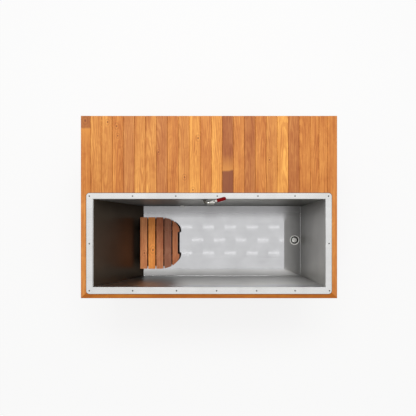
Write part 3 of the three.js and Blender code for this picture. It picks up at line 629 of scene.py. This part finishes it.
@dataclass(frozen=True)
class DrainSteel(Finish):
    """Spun stainless drain: a pale satin ring about a dish painted dark, as the shade in its recess.

    Real turning grooves are a tenth of a millimetre apart or less. They are drawn coarser here, to show.
    """

    axis: Pair = (765.0, -244.5)
    dish_radius: float = 33.0
    dish_blur: float = 1.0
    ring_width: float = 10.0
    ring_crown: float = 0.9
    ring_colour: str = "#FBFAF6"
    dish_painted_shade_colour: str = "#24221F"
    roughness: float = 0.42
    metallic: float = 0.25
    groove: float = 1.6
    groove_depth: float = 0.01

    def draw(self, add: Adder) -> dict[str, object]:
        """Draws the drain: pale ring or dish in painted shade by the distance from the axis, with turning
        grooves.

        Args:
            add: Adds a node to the material.

        Returns:
            Inputs of the shader, by name.
        """
        place = add("TexCoord").outputs["Object"]
        middle = (self.axis[0] * MM, self.axis[1] * MM, 0.0)
        away = add("VectorMath", (place, middle), operation="SUBTRACT")
        level = add("VectorMath", (away, (1.0, 1.0, 0.0)), operation="MULTIPLY")
        radius = add("VectorMath", (level,), operation="LENGTH").outputs["Value"]
        lip = ((self.dish_radius - self.dish_blur) * MM, (self.dish_radius + self.dish_blur) * MM)
        ring = add("MapRange", (radius, *lip))
        # The dish is painted dark as the shade in its recess.
        tone = add("Mix", {"Factor": ring, 6: linear(self.dish_painted_shade_colour), 7: linear(self.ring_colour)},
                   data_type="RGBA").outputs[2]
        turns = add("Math", (radius, 2 * math.pi / (self.groove * MM)), operation="MULTIPLY")
        grooves = add("Math", (turns,), operation="SINE")
        band = (self.dish_radius * MM, (self.dish_radius + self.ring_width) * MM)
        across = add("MapRange", (radius, *band, 0.0, math.pi))
        crown = add("Math", (across,), operation="SINE")
        raised = add("Math", (crown, self.ring_crown), operation="MULTIPLY")
        turned = add("Math", (grooves, self.groove_depth, raised), operation="MULTIPLY_ADD")
        relief = add("Bump", {"Height": turned, "Strength": 1.0, "Distance": MM})
        return {"Base Color": tone, "Normal": relief, "Roughness": self.roughness, "Metallic": self.metallic}


@dataclass(frozen=True)
class Even(Finish):
    """An even finish, such as paint, plastic or cast metal, broken up by a mottle and its relief.

    Most such textures are finer than a millimetre. They are drawn coarser here, to show.
    """

    colour: str
    roughness: float
    metallic: float = 0.0
    mottle: float = 3.0
    swing: float = 0.08
    relief: float = 0.05
    specular: float = 0.5
    uneven: float = 0.15
    detail: float = 3.0
    relief_gain: float = 0.3

    def draw(self, add: Adder) -> dict[str, object]:
        """Draws one colour with a mottle of its own size.

        Args:
            add: Adds a node to the material.

        Returns:
            Inputs of the shader, by name.
        """
        place = add("TexCoord").outputs["Object"]
        mottle = add("TexNoise", {"Vector": place, "Scale": 1 / (self.mottle * MM), "Detail": self.detail})
        factor = add("MapRange", (mottle, *NOISE_SPREAD, 1 - self.swing, 1 + self.swing))
        colour = add("VectorMath", (linear(self.colour)[:3], factor), operation="MULTIPLY")
        smooth, dull = self.roughness * (1 - self.uneven), self.roughness * (1 + self.uneven)
        rough = add("MapRange", (mottle, *NOISE_SPREAD, smooth, dull))
        relief = add("Bump", {"Height": mottle, "Strength": self.relief_gain, "Distance": self.relief * MM})
        return {"Base Color": colour, "Roughness": rough, "Normal": relief, "Metallic": self.metallic,
                "Specular IOR Level": self.specular}


# Stainless sheet, ground along its length: the floor mirrors the lamps softly and the flange is near white.
# Its walls carry painted shade and light, and its folds a painted highlight.
SHEET_STEEL = BrushedSteel("stainless_sheet_brushed")
# Spun stainless drain: a pale ring, with painted shade in its dish.
SPUN_STEEL = DrainSteel("stainless_spun")
# Turned stainless fittings: paler and softer than the sheet, with faint turning marks.
TURNED_STEEL = Even("stainless_turned", "#FBFAF6", 0.4, metallic=0.25, mottle=2.5, swing=0.05, relief=0.02)
# Forged and plated brass valve: pale, with a slightly soft shine.
PLATED_BRASS = Even("brass_nickel_plated", "#CFCDC6", 0.24, metallic=1.0, mottle=4.0, swing=0.06, relief=0.03)
# Cast elbow inside the corner: dull metal painted dark, as the shade that it sits in.
PAINTED_SHADE_CAST = Even("steel_cast_painted_shade", "#6A675F", 0.42, metallic=1.0, swing=0.12, relief=0.08)
# Dipped vinyl: deep red with a thick, soft-looking skin that hardly shines.
RED_VINYL = Even("vinyl_dipped_red", "#750306", 0.55, mottle=6.0, swing=0.06, specular=0.05)
# Pan-head screws: dark oiled stainless, small and dull from above.
SCREW_STEEL = Even("stainless_screw_dulled", "#63615D", 0.45, metallic=1.0, mottle=1.5, swing=0.1,
                   relief=0.02)
# Rubber bead under the flange: matt black, put there as a painted shadow line along the flange's edge.
SHADOW_LINE_RUBBER = Even("rubber_painted_shadow_line", "#1C1B1A", 0.75, mottle=2.0, swing=0.12, relief=0.03, specular=0.25)
# Treated softwood of the skids: dull, greenish tan, rough sawn.
TREATED_PINE = Even("softwood_pressure_treated", "#A98F63", 0.82, mottle=14.0, swing=0.16, relief=0.5)
# Plywood of the base: dull tan, with the broad figure of peeled veneer.
PLYWOOD = Even("plywood_exterior", "#B89568", 0.75, mottle=26.0, swing=0.1, relief=0.2)
# Powder coat on steel tube: black satin with a fine orange peel.
POWDER_COAT = Even("steel_powder_coated", "#2B2B2D", 0.45, mottle=2.2, relief=0.06)
# Sprayed polyurethane foam: pale yellow and lumpy.
SPRAYED_FOAM = Even("polyurethane_foam_sprayed", "#E4DCBF", 0.9, mottle=22.0, swing=0.1, relief=4.0)
# Pipe PVC: pale grey with a low sheen from the extruder.
PIPE_PVC = Even("pvc_pipe_extruded", "#D9D9D6", 0.36, mottle=9.0, swing=0.03, relief=0.03)
# Moulded polypropylene: near black, with a spark-eroded texture.
BLACK_MOULDING = Even("polypropylene_moulded", "#1E1E20", 0.5, mottle=1.8, swing=0.12)
# Painted sheet steel of the chiller: light grey, semi-gloss.
CHILLER_PAINT = Even("sheet_steel_painted", "#BCC0C3", 0.4, swing=0.05, relief=0.04)


def dress(node: bpy.types.Object, material: bpy.types.Material, round_edges: float = 0.0) -> None:
    """Gives a solid its material, and its sawn or folded edges a small worn round.

    Args:
        node: Solid carried over from the frame.
        material: Material that it shows.
        round_edges: Radius of the worn edges in mm, or 0 for none.
    """
    node.data.materials.clear()
    node.data.materials.append(material)
    if round_edges:
        weld = node.modifiers.new("closed_corners", "WELD")
        weld.merge_threshold = WELD_GAP * MM
        worn = node.modifiers.new("worn_edges", "BEVEL")
        worn.width = round_edges * MM
        worn.segments = EDGE_STEPS
        worn.limit_method = "ANGLE"
        worn.angle_limit = math.radians(SHARP_EDGE)
        worn.use_clamp_overlap = True
    LOG.info("dressed %s with %s", node.name, material.name)


def turned_into(mesh: bmesh.types.BMesh, profile: tuple[Pair, ...], sides: int, place: Matrix) -> None:
    """Turns a profile about an axis and adds the closed form to a mesh.

    Args:
        mesh: Mesh that takes the form.
        profile: Radius and height of each ring in mm, from the foot's middle to the head's middle.
        sides: Number of sides.
        place: Where the form goes, in metres.
    """
    rings: list[list[bmesh.types.BMVert]] = []
    for radius, height in profile:
        turns = [2 * math.pi * i / sides for i in range(sides if radius else 1)]
        points = [Vector((radius * math.cos(t), radius * math.sin(t), height)) * MM for t in turns]
        rings.append([mesh.verts.new(place @ point) for point in points])
    for low, high in zip(rings, rings[1:]):
        for i in range(sides):
            j = i + 1
            corners = [low[i % len(low)], low[j % len(low)], high[j % len(high)], high[i % len(high)]]
            mesh.faces.new(dict.fromkeys(corners))


def make_piece(name: str, mesh: bmesh.types.BMesh, material: bpy.types.Material, body: str) -> None:
    """Makes a scene piece from a mesh and lets it ride on a body.

    Args:
        name: Name of the piece.
        mesh: Its mesh, used up here.
        material: Material that it shows.
        body: Body that it rides on.
    """
    bmesh.ops.recalc_face_normals(mesh, faces=mesh.faces)
    for edge in mesh.edges:
        edge.smooth = edge.calc_face_angle(0.0) < math.radians(SMOOTH_BELOW)
    for face in mesh.faces:
        face.smooth = True
    data = bpy.data.meshes.new(name)
    mesh.to_mesh(data)
    mesh.free()
    data.materials.append(material)
    piece = bpy.data.objects.new(name, data)
    bpy.context.scene.collection.objects.link(piece)
    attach(piece, body)
    LOG.info("built %s on %s", name, body)


@dataclass
class SubAssembly:
    """A group of the tub's solids, with the pieces that the scene adds to them."""

    nodes: dict[str, bpy.types.Object]

    def dress(self) -> None:
        """Gives the group's solids their finishes."""
        raise NotImplementedError

    def build(self) -> None:
        """Adds the scene's own pieces, where the group has any."""


@dataclass
class Bath(SubAssembly):
    """The folded steel bath, its flange screws, a black bead as painted shadow under the flange, drain and
    wall fitting.
    """

    rim: float = 790.9
    back_row: float = 77.0
    front_row: float = -587.0
    back_screws: tuple[float, ...] = (-839, -536, -233, 58, 343, 603, 838)
    front_screws: tuple[float, ...] = (-839, -535, -228, 53, 334, 604, 845)
    end_screws: tuple[Pair, ...] = ((-839, -257), (842, -256))
    screw_sides: int = 16
    head: tuple[Pair, ...] = ((0, 0), (5.2, 0), (5.2, 0.6), (4.6, 1.5), (3.4, 2.0), (1.9, 2.1), (1.7, 0.9),
                              (0, 0.6))
    # Black bead that paints the shadow line under the flange: corner radius, foot height, steps and profile
    # in mm.
    flange_corner: float = 22.0
    bead_foot: float = 788.7
    bead_steps: int = 6
    bead: tuple[Pair, ...] = ((-6.0, 0.0), (2.4, 0.0), (2.8, 0.6), (2.0, 1.4), (0.3, 1.7), (0.3, 0.1),
                              (-6.0, 0.1))

    def screws(self) -> None:
        """Sets a pan-head screw, with its driver socket, in each hole of the flange."""
        rows = ((self.back_row, self.back_screws), (self.front_row, self.front_screws))
        places = [(x, y) for y, row in rows for x in row]
        mesh = bmesh.new()
        for x, y in (*places, *self.end_screws):
            turned_into(mesh, self.head, self.screw_sides, Matrix.Translation(Vector((x, y, self.rim)) * MM))
        make_piece("flange_screws", mesh, SCREW_STEEL.material(), "casing")

    def lay_shadow_bead(self) -> None:
        """Runs a black rubber bead round the flange's edge, between the sheet and the boards, as a painted
        shadow line.
        """
        low, high = (Vector(c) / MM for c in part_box("tub_liner"))
        inset = self.flange_corner
        mesh = bmesh.new()
        rings: list[list[bmesh.types.BMVert]] = []
        halfway = (low.y + high.y) / 2
        outline = ((high.x, high.y), (low.x, high.y), (low.x, low.y), (high.x, low.y))
        for quarter, (x, y) in enumerate(outline):
            middle = Vector((x - math.copysign(inset, x), y - math.copysign(inset, y - halfway), 0))
            for step in range(self.bead_steps + 1):
                turn = math.radians(90 * (quarter + step / self.bead_steps))
                out = Vector((math.cos(turn), math.sin(turn), 0))
                points = [middle + out * (inset + reach) + Vector((0, 0, self.bead_foot + rise))
                          for reach, rise in self.bead]
                rings.append([mesh.verts.new(point * MM) for point in points])
        for ring, after in zip(rings, rings[1:] + rings[:1]):
            for i in range(len(self.bead)):
                j = (i + 1) % len(self.bead)
                mesh.faces.new((ring[i], after[i], after[j], ring[j]))
        make_piece("flange_shadow_bead", mesh, SHADOW_LINE_RUBBER.material(), "casing")

    def build(self) -> None:
        """Adds the flange's screws and the black bead that paints a shadow line under it."""
        self.screws()
        self.lay_shadow_bead()

    def dress(self) -> None:
        """Gives the sheet and the fittings their steel."""
        dress(self.nodes["tub_liner"], SHEET_STEEL.material())
        dress(self.nodes["drain_body"], SPUN_STEEL.material())
        turned = TURNED_STEEL.material()
        for name in ("drain_stopper", "suction_fitting"):
            dress(self.nodes[name], turned)


@dataclass
class Deck(SubAssembly):
    """The cedar boards and mitred caps around the bath's rim."""

    tones: tuple[CedarTone, ...] = tuple(CedarTone[name] for name in (
        "HONEY HONEY AMBER RUSSET HONEY HONEY RUSSET AMBER HONEY PALE AMBER "
        "PALE UMBER AMBER BROWN AMBER HONEY PALE BROWN AMBER AMBER AMBER").split())
    caps: dict[str, tuple[CedarTone, Grain]] = field(default_factory=lambda: {
        "left_cap": (CedarTone.AMBER, Grain.ALONG_Y), "right_cap": (CedarTone.AMBER, Grain.ALONG_Y),
        "front_cap": (CedarTone.GINGER, Grain.ALONG_X)})
    cap_seed: int = 40
    stains: dict[str, Pair] = field(default_factory=lambda: {
        "deck_board_13": (60.0, 264.0), "left_cap": (570.0, 680.0)})
    stain_depths: dict[str, float] = field(default_factory=lambda: {"deck_board_13": 0.78, "left_cap": 0.5})
    knots: dict[str, tuple[Point, ...]] = field(default_factory=lambda: {
        "deck_board_2": ((-712.0, 596.0, 9.0),),
        "deck_board_3": ((-648.0, 568.0, 10.0), (-640.0, 500.0, 8.0)),
        "deck_board_7": ((-354.0, 385.0, 8.0),), "deck_board_9": ((-172.0, 210.0, 9.0),),
        "deck_board_10": ((-77.0, 484.0, 10.0), (-112.0, 119.0, 9.0)),
        "deck_board_17": ((424.0, 330.0, 8.0),), "left_cap": ((-868.0, 608.0, 12.0),)})
    heart_drift: Pair = (38.0, 240.0)
    heart_turn: float = 2.4
    heart_stagger: float = 1.7
    worn_round: float = 1.0

    def heart(self, name: str, seed: int) -> Point:
        """Places a board's heart off its middle, by a step of its own.

        Args:
            name: Name of the board's solid.
            seed: Number of the board.

        Returns:
            The heart's place in mm.
        """
        low, high = (Vector(c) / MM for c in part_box(name))
        middle = (low + high) / 2
        turn = seed * self.heart_turn
        return (middle.x + self.heart_drift[0] * math.cos(turn),
                middle.y + self.heart_drift[1] * math.sin(turn * self.heart_stagger), high.z)

    def board(self, name: str, tone: CedarTone, grain: Grain, seed: int, heart: Point | None = None) -> None:
        """Gives one board its cedar, with its own knots and stain.

        Args:
            name: Name of the board's solid.
            tone: Its tone.
            grain: Way that its fibres run.
            seed: Number that sets its figure.
            heart: Middle of its arches in mm, or None where it has none.
        """
        cedar = Cedar(f"cedar_oiled_{name}", tone, grain, seed=seed, heart=heart,
                      knots=self.knots.get(name, ()), stain=self.stains.get(name),
                      stain_depth=self.stain_depths.get(name, 0.0))
        dress(self.nodes[name], cedar.material(), self.worn_round)

    def dress(self) -> None:
        """Gives each board its own tone and figure."""
        for number, tone in enumerate(self.tones, 1):
            name = f"deck_board_{number}"
            self.board(name, tone, Grain.ALONG_Y, number, self.heart(name, number))
        for seed, (name, (tone, grain)) in enumerate(self.caps.items(), self.cap_seed):
            self.board(name, tone, grain, seed)


@dataclass
class Casing(SubAssembly):
    """The cedar cladding with its nails, the rear louvre, the base and the frame."""

    foot: float = 60.0
    top: float = 768.3
    courses: int = 9
    nail_inset: float = 32.0
    nail_rise: float = 0.5
    nail_pitch: float = 570.0
    nail_sides: int = 10
    nail: tuple[Pair, ...] = ((0, -1.0), (3.4, -1.0), (3.4, 0.1), (2.6, 0.5), (0, 0.7))
    panels: dict[str, Grain] = field(default_factory=lambda: {
        "front_cladding": Grain.ALONG_X, "back_cladding": Grain.ALONG_X,
        "left_cladding": Grain.ALONG_Y, "right_cladding": Grain.ALONG_Y})
    panel_seed: int = 60
    louvre_seed: int = 70
    skid_round: float = 3.0

    @property
    def course(self) -> float:
        """Height of one course of cladding."""
        return (self.top - self.foot) / self.courses

    def faces(self) -> list[tuple[str, Matrix, float]]:
        """Lists the cladding's faces.

        Returns:
            Each panel's name, a frame on its outer face's foot with +Z out and +X along, and half its length.
        """
        found = []
        names = ("front_cladding", "right_cladding", "back_cladding", "left_cladding")
        for quarter, name in enumerate(names):
            low, high = (Vector(c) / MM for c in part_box(name))
            along = quarter % 2
            across = 1 - along
            reach = max(abs(low[across]), abs(high[across]))
            turned = Matrix.Rotation(math.radians(90 * quarter), 4, "Z")
            out = Matrix.Translation(Vector((0, -reach, self.foot)) * MM)
            upright = turned @ out @ Matrix.Rotation(math.radians(90), 4, "X")
            found.append((name, upright, (high - low)[along] / 2))
        return found

    def build(self) -> None:
        """Drives stainless nails through every course of the cladding, clear of the louvre."""
        steel = SCREW_STEEL.material()
        low, high = (Vector(c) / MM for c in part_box("rear_louvre"))
        inset = self.nail_inset
        for name, upright, half in self.faces():
            mesh = bmesh.new()
            reach = half - inset
            bays = round(2 * reach / self.nail_pitch)
            for bay in range(bays + 1):
                for course in range(self.courses):
                    along = -reach + bay * 2 * reach / bays
                    rise = (course + self.nail_rise) * self.course
                    place = upright @ Matrix.Translation(Vector((along, rise, 0)) * MM)
                    spot = place.translation / MM
                    beside = low.x - inset < spot.x < high.x + inset
                    level = low.z - inset < spot.z < high.z + inset
                    if not (name == "back_cladding" and beside and level):
                        turned_into(mesh, self.nail, self.nail_sides, place)
            make_piece(f"{name}_nails", mesh, steel, "casing")

    def dress(self) -> None:
        """Gives the panels their courses of cedar, and the base and frame their finishes."""
        for seed, (name, grain) in enumerate(self.panels.items(), self.panel_seed):
            cedar = Cedar(f"cedar_oiled_{name}", CedarTone.AMBER, grain, seed=seed, course=self.course,
                          course_foot=self.foot)
            dress(self.nodes[name], cedar.material())
        louvre = Cedar("cedar_oiled_louvre", CedarTone.RUSSET, Grain.ALONG_X, seed=self.louvre_seed)
        dress(self.nodes["rear_louvre"], louvre.material())
        pine = TREATED_PINE.material()
        for name in ("skid_front", "skid_middle", "skid_back"):
            dress(self.nodes[name], pine, self.skid_round)
        for name, finish in (("base_panel", PLYWOOD), ("frame", POWDER_COAT), ("foam_jacket", SPRAYED_FOAM)):
            dress(self.nodes[name], finish.material())


@dataclass
class Seat(SubAssembly):
    """The lift-out slatted seat of damp cedar, with painted shade that makes it near black underneath."""

    tones: tuple[CedarTone, ...] = (CedarTone.WET_TAN, CedarTone.WET_ORANGE, CedarTone.WET_ROSE,
                                    CedarTone.WET_RED, CedarTone.WET_ROSE)
    knots: dict[int, tuple[Point, ...]] = field(default_factory=lambda: {
        1: ((-541.0, -352.0, 11.0),), 2: ((-468.0, -326.0, 13.0),), 4: ((-350.0, -160.0, 9.0),)})
    slat_seed: int = 80
    bearer_seed: int = 90
    # Painted shade under the slats and bearers: near black underneath.
    painted_underside_shade: float = 0.06
    roughness: float = 0.42
    slat_contrast: float = 2.6
    worn_round: float = 1.5

    def dress(self) -> None:
        """Gives each slat its tone, and the bearers the darkest."""
        for number, tone in enumerate(self.tones, 1):
            cedar = Cedar(f"cedar_damp_slat_{number}", tone, Grain.ALONG_Y, seed=self.slat_seed + number,
                          roughness=self.roughness, painted_underside_shade=self.painted_underside_shade, contrast=self.slat_contrast,
                          knots=self.knots.get(number, ()))
            dress(self.nodes[f"seat_slat_{number}"], cedar.material(), self.worn_round)
        for seed, name in enumerate(("seat_bearer_front", "seat_bearer_back"), self.bearer_seed):
            cedar = Cedar(f"cedar_damp_{name}", CedarTone.WET_RED, Grain.ALONG_X, seed=seed,
                          roughness=self.roughness, painted_underside_shade=self.painted_underside_shade)
            dress(self.nodes[name], cedar.material(), self.worn_round)


@dataclass
class Plumbing(SubAssembly):
    """The valve and its lever, the pipes, and the plant under the deck."""

    def dress(self) -> None:
        """Gives each fitting and each piece of the plant its finish."""
        finishes: dict[Finish, tuple[str, ...]] = {
            PLATED_BRASS: ("valve_body", "valve_lever"),
            # The elbow's dark grey is painted shade.
            PAINTED_SHADE_CAST: ("return_elbow",),
            RED_VINYL: ("lever_sleeve",),
            PIPE_PVC: ("drain_pipe", "suction_pipe", "return_pipe"),
            BLACK_MOULDING: ("pump", "filter_housing", "filter_lid", "fan", "fan_guard"),
            CHILLER_PAINT: ("chiller_casing",),
        }
        for finish, names in finishes.items():
            material = finish.material()
            for name in names:
                dress(self.nodes[name], material)


@dataclass
class Studio:
    """White floor, soft overhead light, a grid of small ceiling lamps, and the camera straight above."""

    camera_place: Point = (-31.5, -182.0, 3237.0)
    lens: float = 30.2
    shift: Pair = (0.0084, 0.0601)
    floor_half: float = 14.0
    floor_glow: float = 0.82
    floor_colour: str = "#F4F4F4"
    backdrop: str = "#FFFFFF"
    ceiling: str = "#E6E6E6"
    near_wall: str = "#8C8B88"
    far_wall: str = "#C4C4C2"
    wall_turn: Pair = (-0.5, 0.5)
    ceiling_turn: Pair = (0.35, 0.95)
    lamp_columns: int = 5
    lamp_rows: int = 3
    lamp_first: Pair = (-350.0, -536.0)
    lamp_step: Pair = (390.0, 230.0)
    lamp_stagger: float = 0.5
    lamp_height: float = 3300.0
    lamp_size: Pair = (200.0, 16.0)
    lamp_power: float = 0.010
    soft_size: Pair = (3000.0, 1400.0)
    soft_place: Point = (0.0, 2100.0, 4700.0)
    soft_aim: Point = (0.0, 0.0, 700.0)
    soft_power: float = 92.0

    def camera(self) -> None:
        """Sets the camera straight above, with the shift that the photograph's framing has."""
        data = bpy.data.cameras.new("overhead_camera")
        data.lens = self.lens
        data.shift_x, data.shift_y = self.shift
        camera = bpy.data.objects.new("overhead_camera", data)
        camera.location = Vector(self.camera_place) * MM
        bpy.context.scene.collection.objects.link(camera)
        bpy.context.scene.camera = camera

    def lamp(self, name: str, place: Point, size: Pair, power: float, aim: Point) -> None:
        """Hangs a soft rectangular lamp.

        Args:
            name: Name of the lamp.
            place: Its middle in mm.
            size: Its width and depth in mm.
            power: Its power in watts.
            aim: Point in mm that it faces.
        """
        data = bpy.data.lights.new(name, "AREA")
        data.shape = "RECTANGLE"
        data.size, data.size_y = size[0] * MM, size[1] * MM
        data.energy = power
        lamp = bpy.data.objects.new(name, data)
        lamp.location = Vector(place) * MM
        lamp.rotation_euler = (Vector(aim) - Vector(place)).to_track_quat("-Z", "Y").to_euler()
        lamp.visible_camera = False
        bpy.context.scene.collection.objects.link(lamp)

    def lights(self) -> None:
        """Hangs the soft light and the grid of small lamps that the bath's floor mirrors."""
        self.lamp("soft_light", self.soft_place, self.soft_size, self.soft_power, self.soft_aim)
        for row in range(self.lamp_rows):
            for column in range(self.lamp_columns):
                x = self.lamp_first[0] + (column + self.lamp_stagger * (row % 2)) * self.lamp_step[0]
                y = self.lamp_first[1] + row * self.lamp_step[1]
                place = (x, y, self.lamp_height)
                self.lamp(f"ceiling_lamp_{row}_{column}", place, self.lamp_size, self.lamp_power, (x, y, 0))

    def world(self) -> None:
        """Makes a dim room that brightens towards its ceiling."""
        world = bpy.data.worlds.new("pale_room")
        world.use_nodes = True
        world.node_tree.nodes.clear()
        add = partial(add_node, world.node_tree)
        view = add("TexCoord").outputs["Generated"]
        _, sideways, upwards = add("SeparateXYZ", (view,)).outputs
        colour = linear(self.near_wall)
        for way, turn, part in ((sideways, self.wall_turn, self.far_wall),
                                (upwards, self.ceiling_turn, self.ceiling)):
            reach = add("MapRange", (way, *turn), interpolation_type="SMOOTHSTEP")
            colour = add("Mix", {"Factor": reach, 6: colour, 7: linear(part)}, data_type="RGBA").outputs[2]
        light = add("Background", {"Color": colour})
        add("OutputWorld", {"Surface": light})
        bpy.context.scene.world = world

    def floor(self) -> None:
        """Lays a plain white floor that keeps the tub's shadow."""
        half = self.floor_half
        data = bpy.data.meshes.new("studio_floor")
        outline = [(-half, -half, 0), (half, -half, 0), (half, half, 0), (-half, half, 0)]
        data.from_pydata(outline, [], [(0, 1, 2, 3)])
        floor = bpy.data.objects.new("studio_floor", data)
        bpy.context.scene.collection.objects.link(floor)
        # White paper: matt, and lit from within for the camera and for mirrors, so that it stays white.
        material, add = Finish("white_paper_floor").start()
        rays = add("LightPath").outputs
        seen = rays["Is Camera Ray"]
        for ray in ("Is Glossy Ray", "Is Transmission Ray"):
            seen = add("Math", (seen, rays[ray]), operation="MAXIMUM")
        paper = add("BsdfDiffuse", {"Color": linear(self.floor_colour)})
        glow = add("Emission", {"Color": linear(self.backdrop), "Strength": seen})
        both = add("MixShader", (self.floor_glow, paper, glow))
        add("OutputMaterial", {"Surface": both})
        data.materials.append(material)

    def build(self) -> None:
        """Sets up the camera, the lights, the room and the floor."""
        self.camera()
        self.lights()
        self.world()
        self.floor()
        bpy.context.scene.view_settings.view_transform = "Standard"


def main() -> None:
    """Builds and dresses every sub-assembly."""
    logging.basicConfig(level=logging.INFO, format="%(name)s: %(message)s")
    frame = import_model()
    nodes = frame["nodes"]
    Studio().build()
    for assembly in (Bath(nodes), Deck(nodes), Casing(nodes), Seat(nodes), Plumbing(nodes)):
        assembly.dress()
        assembly.build()


if __name__ == "__main__":
    main()
